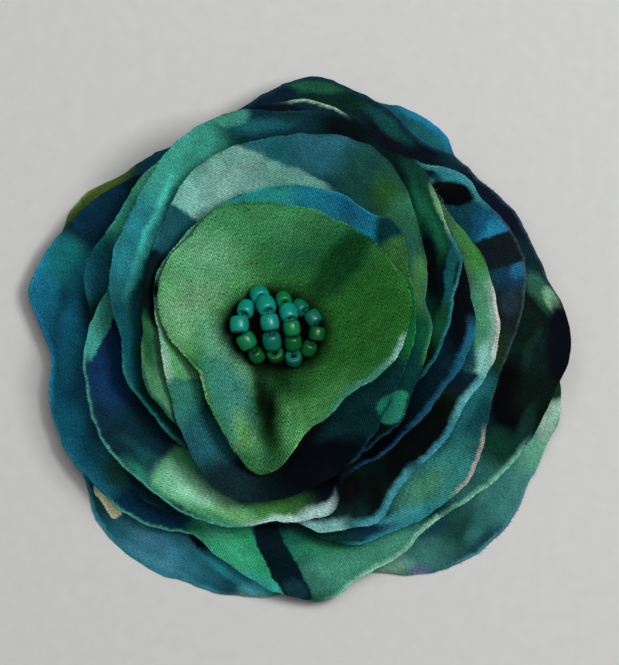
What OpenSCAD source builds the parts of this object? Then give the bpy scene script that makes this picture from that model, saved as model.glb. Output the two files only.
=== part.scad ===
// Flower brooch: nine singed satin discs stitched through the middle, glass beads, felt back and bar pin.
// It lies on its back: +Z is up, the XY origin is the middle of its box, and z = 0 is the table.

/* [Cloth] */
// Wall of one gathered satin disc
cloth_t = 1; // [1:0.05:1.1]
// Free space between two discs where they are stitched
layer_gap = 0.25; // [0.2:0.05:0.3]
// Radius of the hole that the stitches pull open in each disc
hole_r = 1.3; // [1.2:0.1:1.6]

/* [Beads] */
// Diameter of a glass bead
bead_d = 3.2; // [2.9:0.1:3.3]
// Length of a glass bead along its bore
bead_len = 2.5; // [2.2:0.1:2.5]
// Bore of a glass bead
bead_bore = 1.1; // [1:0.1:1.2]
// Diameter of the doubled beading thread
thread_d = 0.3; // [0.2:0.05:0.35]

/* [Back] */
// Diameter of the felt disc
felt_d = 46; // [40:1:47]
// Thickness of the felt disc
felt_t = 1.6; // [1:0.1:1.6]
// Height of the felt's underside above the table
felt_z = 5.6; // [5.5:0.1:5.7]

/* [Pin] */
// Length of the bar
bar_len = 34; // [28:1:38]
// Width of the bar
bar_w = 5; // [4:0.5:6]
// Thickness of the bar
bar_t = 0.8; // [0.6:0.1:1]
// Diameter of the pin wire
wire_d = 0.9; // [0.8:0.1:1]
// Height of the pin wire's axis above the table
wire_z = 2.3; // [2.1:0.1:2.4]

/* [Hidden] */
// Where the stitches gather all the discs, measured from the middle of the box
stitch_x = -3.68;
stitch_y = 2.39;

// One row a disc, the top one first.
// Columns: radius of its flat stitched middle, belly (1 is a cone, more is a bowl), where the edge starts
// to roll as a share of the reach, sRGB colour.
DISCS = [
  [5.5, 1.35, 0.84, "#5d8a45"],
  [7.5, 1.35, 0.84, "#3f7d86"],
  [10, 1.35, 0.86, "#6f9a86"],
  [12.5, 1.4, 0.88, "#3b8b80"],
  [15, 1.4, 0.88, "#2f5f7c"],
  [17.5, 1.4, 0.8, "#79ad70"],
  [19.5, 1.4, 0.8, "#3f6d78"],
  [21.5, 2, 0.6, "#2c6a86"],
  [24, 2, 0.52, "#4a8593"]
];

// One table a disc, a row for each section round its rim.
// Columns: angle, reach of the rim, height to which the wall climbs, how far the edge rolls down from it.
SECTIONS = [
  [
    [0, 22.8, 30.5, 0.6], [12, 24.2, 30.3, 0.8], [30, 23.5, 30.3, 0.8], [58, 22.2, 30.5, 0.8],
    [80, 21.7, 30.5, 0.6], [100, 22.7, 30.5, 0.6], [117, 23.9, 30.4, 0.5], [135, 22.6, 30.8, 0.6],
    [150, 23.2, 30.6, 0.6], [166, 22.5, 30.3, 0.4], [182, 20.2, 29.2, 0.2], [197, 17.3, 27.8, 0],
    [211, 16.7, 27.4, 0], [226, 18.2, 27.6, 0.2], [240, 20.8, 28, 0.5], [252, 24.1, 28.3, 1],
    [261, 26.6, 27.3, 1.5], [269, 25.6, 27.3, 1.5], [276, 22.6, 28, 1], [283, 19.7, 28.6, 0.6],
    [297, 18.2, 29.2, 0.4], [314, 17.4, 30, 0.4], [330, 19, 30.8, 0.6], [345, 21.5, 31, 0.8]
  ],
  [
    [0, 24.3, 28.8, 0.4], [12, 24.9, 28.8, 0.4], [24, 25.4, 28.8, 0.4], [33, 27.6, 28.2, 0.6],
    [42, 28.2, 28, 0.8], [52, 26.2, 28.6, 0.6], [64, 26.5, 28.8, 0.6], [82, 25.7, 28.8, 0.5],
    [100, 25.2, 28.7, 0.5], [122, 24.4, 28.8, 0.4], [142, 23.7, 28.8, 0.3], [160, 23.8, 28.6, 0.3],
    [178, 22.2, 28.2, 0.2], [195, 21.7, 27.4, 0.2], [210, 22.6, 26.8, 0.3], [222, 25, 26.2, 0.6],
    [233, 27.4, 25.8, 0.8], [243, 30.2, 25.2, 1], [256, 32.2, 25, 1.2], [270, 31.2, 25, 1.2],
    [283, 29.3, 25.4, 0.8], [302, 27.4, 26, 0.6], [322, 24.6, 27.2, 0.4], [342, 23.6, 28.4, 0.4]
  ],
  [
    [0, 27.5, 27, 0.4], [11, 26.8, 27, 0.4], [24, 29, 26.8, 0.6], [38, 31.8, 26.4, 0.8],
    [48, 34.2, 26.2, 1], [60, 36.2, 26.2, 1], [72, 36.1, 26.2, 1], [84, 35, 26.4, 0.8],
    [98, 34, 26.6, 0.8], [110, 33.3, 26.6, 0.6], [120, 31.9, 26.8, 0.5], [130, 29.8, 27.2, 0.4],
    [142, 27.7, 27.4, 0.3], [155, 26.1, 27.6, 0.2], [168, 24.8, 27.8, 0.2], [180, 24.2, 27.8, 0.2],
    [192, 25.2, 27.2, 0.2], [204, 26.2, 26.4, 0.4], [216, 25.8, 25.6, 0.4], [230, 25.6, 23.8, 0.4],
    [250, 27.4, 21.4, 0.4], [272, 28.2, 20.8, 0.4], [292, 27.4, 22.2, 0.4], [308, 27, 23.6, 0.4],
    [324, 27.7, 25, 0.6], [340, 26.7, 26.4, 0.4]
  ],
  [
    [2, 31.1, 25, 0.6], [12, 32.6, 24.6, 0.8], [21, 35.1, 24.2, 1.2], [30, 35.1, 24.2, 1],
    [38, 36.9, 23.8, 1], [47, 38.7, 23.4, 1], [54, 38.5, 23.4, 0.8], [60, 37.5, 23.6, 0.6],
    [68, 39.1, 23.4, 0.8], [80, 40, 23.2, 1], [90, 39.2, 23.4, 0.8], [101, 39.9, 23.2, 1],
    [112, 39.2, 23.4, 0.8], [121, 38.1, 23.6, 0.6], [130, 35.9, 24.2, 0.5], [142, 34.2, 24.6, 0.4],
    [155, 33.2, 24.8, 0.4], [166, 31.8, 25, 0.3], [176, 30.1, 25.2, 0.2], [186, 28.6, 25, 0.2],
    [197, 29.1, 24.2, 0.3], [208, 28.2, 23.2, 0.3], [224, 28, 22, 0.4], [240, 27.6, 20.4, 0.4],
    [260, 28.4, 19, 0.4], [282, 27.6, 19.2, 0.4], [306, 26.2, 21, 0.4], [330, 25.8, 22.8, 0.4],
    [346, 28.4, 24.2, 0.5]
  ],
  [
    [0, 35.5, 22, 0.6], [10, 35, 22, 0.6], [20, 35.2, 21.6, 0.6], [31, 35.7, 21.2, 0.6],
    [44, 37.6, 20.6, 0.6], [58, 39.2, 20.2, 0.6], [70, 40.2, 20, 0.8], [82, 41.6, 19.6, 1],
    [94, 40.5, 19.8, 0.8], [105, 39.4, 19.8, 0.6], [118, 37.4, 20, 0.6], [131, 35.1, 20.4, 0.4],
    [145, 33.2, 20.6, 0.4], [158, 31.8, 20.8, 0.3], [168, 31.7, 21, 0.3], [176, 33.7, 21, 0.3],
    [186, 35.5, 20.6, 0.4], [196, 36.4, 20, 0.6], [206, 38, 19.4, 0.8], [218, 38.4, 19, 1],
    [231, 37.8, 18.8, 1], [244, 38, 18.6, 1], [256, 37.5, 18.6, 1], [268, 35.6, 19, 0.8],
    [278, 35.7, 19.2, 0.8], [287, 34.7, 19.4, 0.8], [293, 29.9, 19.6, 0.4], [308, 29.8, 21, 0.4],
    [322, 30.2, 21.8, 0.4], [338, 31.6, 22, 0.4], [350, 34.1, 22, 0.5]
  ],
  [
    [4, 40.4, 21, 4.4], [12, 39.8, 20.8, 4.2], [20, 39.1, 20.4, 3.6], [28, 37.6, 19.6, 2.6],
    [37, 37, 18.8, 1.6], [50, 38, 17.8, 1], [66, 39, 17.2, 0.8], [84, 40.2, 16.8, 0.8],
    [100, 39, 17, 0.6], [114, 37.6, 17.2, 0.5], [128, 37.2, 17.6, 0.6], [140, 36.5, 17.8, 0.6],
    [151, 36.1, 17.8, 0.6], [162, 37.3, 17.6, 0.8], [168, 36.6, 17.4, 0.8], [177, 34.8, 17.4, 0.4],
    [190, 34.6, 17.2, 0.4], [204, 35.8, 16.6, 0.4], [220, 37.2, 16.2, 0.6], [242, 36.8, 15.8, 0.6],
    [262, 35, 15.8, 0.4], [274, 35.4, 16, 0.8], [282, 38.2, 17, 2], [290, 38.9, 17.6, 2.2],
    [297, 39.7, 18, 2], [304, 37.8, 18.6, 1.4], [312, 36, 19, 0.8], [324, 36.7, 19.2, 0.8],
    [336, 36.6, 19.6, 1.2], [346, 38.4, 20.4, 2.8], [355, 40.2, 20.9, 4]
  ],
  [
    [2, 44.1, 16.6, 2], [10, 45.8, 16.6, 2], [18, 46.4, 16.4, 2], [26, 45.4, 16.4, 1.8],
    [32, 43.9, 16.4, 1.6], [38, 43.8, 16.2, 1.6], [43, 42.4, 16, 1.2], [49, 39.9, 15.6, 0.8],
    [62, 39.6, 14.8, 0.8], [80, 40.4, 14.2, 0.8], [100, 39.2, 14, 0.8], [125, 37, 14, 0.6],
    [150, 35.8, 14, 0.6], [176, 35, 13.8, 0.6], [200, 36.4, 13.4, 0.6], [220, 38.1, 13, 0.6],
    [234, 40.1, 13, 0.8], [243, 38.6, 13, 0.6], [256, 36.4, 13, 0.5], [269, 35.6, 13, 0.5],
    [279, 38.8, 13.4, 1], [288, 42, 13.8, 2], [300, 43.3, 14.4, 3], [311, 44, 14.8, 3.4],
    [319, 44.8, 15, 3.4], [327, 43.7, 15.6, 2.8], [335, 41.9, 16.2, 1.8], [343, 40.9, 16.8, 0.6],
    [351, 41.9, 16.8, 1.6]
  ],
  [
    [3, 52.7, 15, 1], [12, 49.7, 14.8, 1], [24, 48.1, 14.4, 1.2], [37, 45.7, 14, 1.4],
    [44, 44.7, 13.8, 1.4], [52, 42.9, 13.8, 1.4], [61, 44.1, 13.4, 2], [72, 45.7, 13, 2.6],
    [82, 46.3, 12.8, 3], [92, 43.6, 12.8, 2.6], [104, 39.8, 12.6, 2], [120, 37.9, 12.2, 1.6],
    [133, 38.1, 12, 1.8], [144, 40.9, 11.8, 3], [155, 43.5, 11.6, 5], [171, 46.8, 11.6, 7],
    [179, 44.7, 11.4, 6.6], [187, 42.9, 11.3, 5.6], [196, 44.1, 11.3, 6], [208, 45.6, 11.2, 5.7],
    [222, 44.8, 11, 4.4], [235, 44.3, 10.8, 3.4], [246, 41.4, 10.8, 3], [255, 43.8, 10.9, 4.2],
    [264, 47.2, 11.2, 5.4], [272, 49.9, 11.2, 6.4], [281, 51.3, 11.2, 6.8], [288, 48.7, 11.3, 5.2],
    [298, 47.3, 11.4, 4], [309, 45.8, 11.8, 3], [319, 47.4, 12.2, 2.6], [329, 49.4, 13, 2],
    [339, 50.9, 14.2, 1.6], [348, 52.2, 15, 1.2], [355, 53.5, 15.4, 1]
  ],
  [
    [4, 49, 10.4, 5], [18, 46.6, 10, 5], [33, 44.7, 9.6, 5.5], [42, 44.9, 9.4, 6.4],
    [50, 47, 9.2, 7.8], [61, 46.9, 9.2, 8], [70, 44.9, 9.2, 7], [82, 43.6, 8.8, 6],
    [98, 41, 8.7, 5], [113, 38.8, 8.6, 5], [126, 39.9, 8.7, 5.4], [136, 40.6, 8.8, 6.6],
    [146, 43.6, 8.8, 7.6], [157, 44.4, 8.8, 7.6], [172, 43.4, 8.8, 6], [190, 41.6, 8.8, 6],
    [206, 43.2, 8.8, 6.4], [218, 46, 8.8, 7.2], [227, 49.3, 8.8, 7.8], [239, 51, 8.8, 7.9],
    [252, 50, 8.8, 7.4], [264, 50.3, 8.8, 7.2], [282, 48.6, 8.8, 6.6], [291, 48.7, 8.8, 6.8],
    [299, 52.4, 9.2, 7.6], [308, 55.3, 9.4, 8.2], [319, 56.3, 9.8, 8.6], [331, 54.4, 10.4, 7.4],
    [343, 54.1, 11.2, 5.8], [350, 52.6, 11, 5.4], [356, 50.8, 10.8, 5]
  ]
];

// Gathers and pleats that the stitches pull in.
// Columns: disc, angle, half width in degrees, depth (a ridge where it is negative).
FOLDS = [
  [1, 263, 7, 1.6], [1, 278, 6, -0.6], [1, 248, 7, -0.4], [1, 318, 14, 0.5], [1, 205, 12, 0.5],
  [2, 262, 8, 0.8], [2, 210, 10, 0.5], [2, 300, 10, 0.5],
  [3, 126, 9, 0.7], [3, 36, 8, 0.6], [4, 60, 7, 0.8], [4, 28, 6, 0.9], [4, 150, 10, -0.4],
  [5, 182, 8, 0.7], [5, 300, 8, 0.8], [6, 160, 7, 0.8], [6, 338, 7, 0.7], [7, 40, 7, 1.2],
  [7, 342, 7, -0.5], [8, 187, 6, 0.5], [8, 155, 8, 0.5], [8, 288, 6, 0.6]
];

// Shares of the wall, from the flat middle to the rim, at which a ring of points lies
RINGS = [0, 0.3, 0.6, 0.84, 1];
// Half of the steps between two sections of a table
HALVES = [0, 0.5];

// One table an arch, a row for each bead on it.
// Columns: x and y from the stitches, z, and how far its bore turns up (down where it is negative).
ARCHES = [
  [[-6, 3.36, 21.1, 0.4], [-7.23, 0.57, 22.2, 0], [-5.91, -2.43, 22, 0], [-4.15, -5.1, 21.2, -0.5]],
  [[-3.55, 6.1, 20.8, 0.5], [-2.38, 4.18, 22.9, 0.2], [-1.7, 0.92, 23.8, 0], [-1.22, -2.54, 23.4, 0],
    [-0.66, -5, 21, -1.4]],
  [[0.83, 5.35, 21, 0.4], [1.72, 2.61, 23.1, 0], [2.35, -0.28, 23.8, 0], [2.66, -3, 22.6, 0],
    [2.6, -6, 21, -1.3]],
  [[4, 3.8, 20.7, 0.3], [6.45, 1.95, 21.4, 0], [7.2, -1.15, 22, 0], [5.82, -3.95, 21.4, -0.3]]
];
// Height of the top disc's stitched middle for which the arches are set; a taller stack lifts them
arch_base_z = 18.4;
// Space between the cloth and the end of a thread
thread_lift = 0.55;
thread_sides = 6;

bead_first = [1, 5, 10, 15];
bead_round = 0.7;
fine = 48;

knot_r = 1;
knot_head_r = 1.9;
knot_head_t = 0.35;
knot_gap = 0.15;

bar_gap = 0.1;
barrel_r = 1.3;
barrel_len = 3.4;
barrel_inset = 1.9;
barrel_foot_w = 2;
catch_r = 1.4;
catch_slot_r = 0.75;
catch_len = 3;
catch_inset = 2.2;
catch_foot_t = 0.5;
tip_len = 2.4;
tip_r = 0.1;
screw_hole_d = 1.6;

PETALS = [for (i = [1:9]) str("petal_", i)];
BEADS = [for (i = [1:18]) str("bead_", i < 10 ? "0" : "", i)];
THREADS = [for (i = [1:4]) str("thread_", i)];

// Height of a disc's upper face where it is stitched
function stack_z(k) = felt_z + felt_t + 0.2 + cloth_t + (len(DISCS) - k) * (cloth_t + layer_gap);

// A row of a rim table, counted on round the rim past either end
function row(t, i) =
  let (n = len(t), j = (i + n) % n, turn = i < 0 ? -360 : (i >= n ? 360 : 0))
  [t[j][0] + turn, t[j][1], t[j][2], t[j][3]];

function slope(t, i, c) = (row(t, i + 1)[c] - row(t, i - 1)[c]) / (row(t, i + 1)[0] - row(t, i - 1)[0]);

// A smooth curve through column c, at the share u between section i and the next
function between(t, i, u, c) =
  let (a = row(t, i), b = row(t, i + 1), h = b[0] - a[0])
  (1 + 2 * u) * (1 - u) ^ 2 * a[c] + u * (1 - u) ^ 2 * h * slope(t, i, c)
  + u ^ 2 * (3 - 2 * u) * b[c] - u ^ 2 * (1 - u) * h * slope(t, i + 1, c);

function section(t, i, u) =
  [(1 - u) * row(t, i)[0] + u * row(t, i + 1)[0], each [for (c = [1:3]) between(t, i, u, c)]];

function turn_from(a, b) = let (d = (a - b + 540) % 360) d - 180;

function fold_depth(k, angle) =
  let (d = [for (f = FOLDS) if (f[0] == k) f[3] * exp(-((turn_from(angle, f[1]) / f[2]) ^ 2))])
  len(d) == 0 ? 0 : d * [for (x = d) 1];

// Height of disc k's upper face along a section, at the share w of its wall
function height(k, s, w) =
  let (d = DISCS[k - 1], z0 = stack_z(k), r = d[0] + w * (s[1] - d[0]), from = max(d[2], d[0] / s[1]),
    roll = max(0, (r / s[1] - from) / (1 - from)))
  z0 + (s[2] - z0) * w ^ d[1] - s[3] * roll ^ 2 - fold_depth(k, s[0]) * min(1, 2 * w);

function ring_point(k, s, w) =
  let (flat = DISCS[k - 1][0], r = flat + w * (s[1] - flat))
  [stitch_x + r * cos(s[0]), stitch_y + r * sin(s[0]), height(k, s, w)];

function hole_point(k, s) =
  [stitch_x + hole_r * cos(s[0]), stitch_y + hole_r * sin(s[0]), stack_z(k)];

function unit(v) = v / norm(v);

// The face's upward normal at ring j of section i, from the points round it
function face_normal(g, i, j) =
  let (n = len(g), m = len(g[0]),
    out = g[i][min(j + 1, m - 1)] - g[i][max(j - 1, 0)],
    round = g[(i + 1) % n][j] - g[(i + n - 1) % n][j])
  unit(cross(out, round));

// A sheet of cloth: the grid of its upper face, the same grid one wall lower, and its two edges
module sheet(g) {
  n = len(g);
  m = len(g[0]);
  under = [for (i = [0:n - 1]) [for (j = [0:m - 1]) g[i][j] - cloth_t * face_normal(g, i, j)]];
  points = [for (side = [g, under]) for (strip = side) for (p = strip) p];
  function id(side, i, j) = side * n * m + (i % n) * m + j;
  faces = concat(
    [for (i = [0:n - 1]) for (j = [0:m - 2]) each
      [[id(0, i, j), id(0, i + 1, j + 1), id(0, i, j + 1)],
      [id(0, i, j), id(0, i + 1, j), id(0, i + 1, j + 1)],
      [id(1, i, j), id(1, i, j + 1), id(1, i + 1, j + 1)],
      [id(1, i, j), id(1, i + 1, j + 1), id(1, i + 1, j)]]],
    [for (i = [0:n - 1]) each
      [[id(0, i, m - 1), id(0, i + 1, m - 1), id(1, i + 1, m - 1)],
      [id(0, i, m - 1), id(1, i + 1, m - 1), id(1, i, m - 1)],
      [id(0, i, 0), id(1, i + 1, 0), id(0, i + 1, 0)],
      [id(0, i, 0), id(1, i, 0), id(1, i + 1, 0)]]]
  );
  polyhedron(points, faces);
}

module petal(k) {
  t = SECTIONS[k - 1];
  around = [for (i = [0:len(t) - 1]) for (u = HALVES) section(t, i, u)];
  color(DISCS[k - 1][3])
    sheet([for (s = around) concat([hole_point(k, s)], [for (w = RINGS) ring_point(k, s, w)])]);
}

function spot(b) = [stitch_x + b[0], stitch_y + b[1], b[2] + max(0, stack_z(1) - arch_base_z)];

// Direction of the thread at bead i of an arch
function along(a, i) =
  unit(unit(spot(a[min(i + 1, len(a) - 1)]) - spot(a[max(i - 1, 0)])) + [0, 0, a[i][3]]);

module point_along(v) {
  rotate([0, acos(v[2]), atan2(v[1], v[0])]) children();
}

// A round bead with softly rounded shoulders and a straight bore
module bead(arch, i) {
  color("#178a6c")
    translate(spot(arch[i])) point_along(along(arch, i))
      rotate_extrude($fn = fine)
        intersection() {
          translate([bead_bore / 2, -bead_len / 2]) square([bead_d, bead_len]);
          offset(r = bead_round)
            translate([-bead_d / 2 + bead_round, -bead_len / 2 + bead_round])
              square([bead_d - 2 * bead_round, bead_len - 2 * bead_round]);
        }
}

module numbered_bead(n) {
  k = n < bead_first[1] ? 0 : n < bead_first[2] ? 1 : n < bead_first[3] ? 2 : 3;
  bead(ARCHES[k], n - bead_first[k]);
}

function mean(v) = v * [for (x = v) 1] / len(v);

// The lowest that a thread can end above the cloth of the top disc
function thread_floor(p) =
  let (t = SECTIONS[0], r = norm([p[0] - stitch_x, p[1] - stitch_y]), flat = DISCS[0][0],
    rise = mean([for (s = t) s[2]]) - stack_z(1), reach = mean([for (s = t) s[1]]))
  stack_z(1) + thread_lift + rise * max(0, (r - flat) / (reach - flat)) ^ DISCS[0][1];

function thread_end(p) = [p[0], p[1], max(p[2], thread_floor(p))];

// The thread of one arch: through every bore, and down to the cloth at both ends
function thread_path(a) =
  let (last = len(a) - 1, half = bead_len / 2)
  concat([thread_end(spot(a[0]) - 1.5 * half * along(a, 0))],
    [for (i = [0:last]) each
      [spot(a[i]) - half * along(a, i), spot(a[i]), spot(a[i]) + half * along(a, i)]],
    [thread_end(spot(a[last]) + 1.5 * half * along(a, last))]);

function path_way(p, i) = unit(p[min(i + 1, len(p) - 1)] - p[max(i - 1, 0)]);

module tube(p, r, sides) {
  ring = [for (i = [0:len(p) - 1])
    let (w = path_way(p, i), side = unit(cross(w, [1, 0, 0])), top = cross(side, w))
    for (q = [0:sides - 1]) p[i] + r * (cos(q * 360 / sides) * side + sin(q * 360 / sides) * top)];
  function id(i, q) = i * sides + q % sides;
  walls = [for (i = [0:len(p) - 2]) for (q = [0:sides - 1]) each
    [[id(i, q), id(i + 1, q + 1), id(i + 1, q)], [id(i, q), id(i, q + 1), id(i + 1, q + 1)]]];
  ends = [[for (q = [sides - 1:-1:0]) id(0, q)], [for (q = [0:sides - 1]) id(len(p) - 1, q)]];
  polyhedron(ring, concat(walls, ends));
}

module thread(k) {
  color("#20453c") tube(thread_path(ARCHES[k - 1]), thread_d / 2, thread_sides);
}

module centre_stitch() {
  top = stack_z(1) + knot_gap;
  color("#20453c")
    translate([stitch_x, stitch_y]) {
      translate([0, 0, felt_z]) cylinder(h = top - felt_z, r = knot_r, $fn = fine);
      translate([0, 0, top]) cylinder(h = knot_head_t, r = knot_head_r, $fn = fine);
    }
}

module backing() {
  color("#1d2a3a")
    translate([stitch_x, stitch_y, felt_z])
      difference() {
        cylinder(h = felt_t, d = felt_d, $fn = 96);
        translate([0, 0, -1]) cylinder(h = felt_t + 2, r = hole_r, $fn = fine);
      }
}

module brooch_pin() {
  bar_z = felt_z - bar_gap - bar_t;
  barrel_x = -bar_len / 2 + barrel_inset;
  catch_x = bar_len / 2 - catch_inset;
  color("#b9bcc0")
    translate([stitch_x, stitch_y, 0]) {
      difference() {
        translate([-bar_len / 2, -bar_w / 2, bar_z]) cube([bar_len, bar_w, bar_t]);
        for (x = [-bar_len / 4, bar_len / 4])
          translate([x, 0, bar_z - 1]) cylinder(h = bar_t + 2, d = screw_hole_d, $fn = fine);
      }
      translate([barrel_x, barrel_len / 2, wire_z]) rotate([90, 0, 0])
        cylinder(h = barrel_len, r = barrel_r, $fn = fine);
      translate([barrel_x - barrel_foot_w / 2, -barrel_len / 2, wire_z])
        cube([barrel_foot_w, barrel_len, bar_z - wire_z + bar_t / 2]);
      translate([barrel_x, 0, wire_z]) rotate([0, 90, 0])
        cylinder(h = catch_x - barrel_x, d = wire_d, $fn = fine);
      translate([catch_x, 0, wire_z]) rotate([0, 90, 0])
        cylinder(h = tip_len, r1 = wire_d / 2, r2 = tip_r, $fn = fine);
      pin_catch(catch_x, bar_z);
    }
}

// The hook that the wire snaps into, open on one side
module pin_catch(x, bar_z) {
  difference() {
    union() {
      translate([x - catch_len / 2, 0, wire_z]) rotate([0, 90, 0])
        cylinder(h = catch_len, r = catch_r, $fn = fine);
      translate([x - catch_len / 2, -catch_r, wire_z])
        cube([catch_len, catch_foot_t, bar_z - wire_z + bar_t / 2]);
    }
    translate([x - catch_len, 0, wire_z]) rotate([0, 90, 0])
      cylinder(h = 2 * catch_len, r = catch_slot_r, $fn = fine);
    translate([x - catch_len, 0, wire_z - catch_slot_r / 2])
      cube([2 * catch_len, 2 * catch_r, catch_slot_r]);
  }
}

for (k = [1:9])
  petal(k);
for (n = [1:18])
  numbered_bead(n);
for (k = [1:4])
  thread(k);
centre_stitch();
backing();
brooch_pin();
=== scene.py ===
"""Flower brooch: looks of nine singed satin discs, glass beads, felt back and bar pin on a pale table."""
import math

import bmesh
import bpy
import numpy as np
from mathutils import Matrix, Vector


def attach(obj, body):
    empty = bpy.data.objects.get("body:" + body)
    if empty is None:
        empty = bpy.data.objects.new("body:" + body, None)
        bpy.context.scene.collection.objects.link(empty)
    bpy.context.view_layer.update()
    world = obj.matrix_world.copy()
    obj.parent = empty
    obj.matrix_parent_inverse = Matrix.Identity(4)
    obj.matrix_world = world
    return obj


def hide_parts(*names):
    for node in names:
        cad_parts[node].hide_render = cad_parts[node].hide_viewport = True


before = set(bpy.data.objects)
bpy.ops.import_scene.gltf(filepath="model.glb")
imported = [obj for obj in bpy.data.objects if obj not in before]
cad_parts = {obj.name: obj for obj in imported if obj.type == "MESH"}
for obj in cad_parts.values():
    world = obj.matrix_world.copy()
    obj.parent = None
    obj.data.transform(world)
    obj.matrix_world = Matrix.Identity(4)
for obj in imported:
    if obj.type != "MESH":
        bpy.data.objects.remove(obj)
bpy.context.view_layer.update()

MM = 0.001

# The stitches that gather every disc, and the stack, in millimetres as in the part's source
STITCHES = (-3.68, 2.39)
FELT_Z, FELT_T, FELT_R = 5.6, 1.6, 23.0
WALL, LAYER_GAP, FELT_GAP, HOLE_R = 1.0, 0.25, 0.2, 1.3

# The satin's own thickness, the radius of its melted edge, and how much lower the lowest disc's rim ends
# than the solid's, so that it meets the table
SATIN_T = 0.28
EDGE_BEAD_R = 0.16
TABLE_DROP = 0.6

# How strongly the crepe shows on each disc: light rakes the top ones
GRAIN = (1.6, 1.3, 1, 1, 1, 1, 1.1, 1, 0.8)

# One row a disc, the top one first: flat stitched radius, belly, share of the reach where the edge rolls,
# turn of the weave in degrees
DISCS = [
    (5.5, 1.35, 0.84, -28),
    (7.5, 1.35, 0.84, 20),
    (10, 1.35, 0.86, 64),
    (12.5, 1.4, 0.88, 35),
    (15, 1.4, 0.88, 80),
    (17.5, 1.4, 0.8, 48),
    (19.5, 1.4, 0.8, 70),
    (21.5, 2, 0.6, 30),
    (24, 2, 0.52, 55),
]

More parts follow.
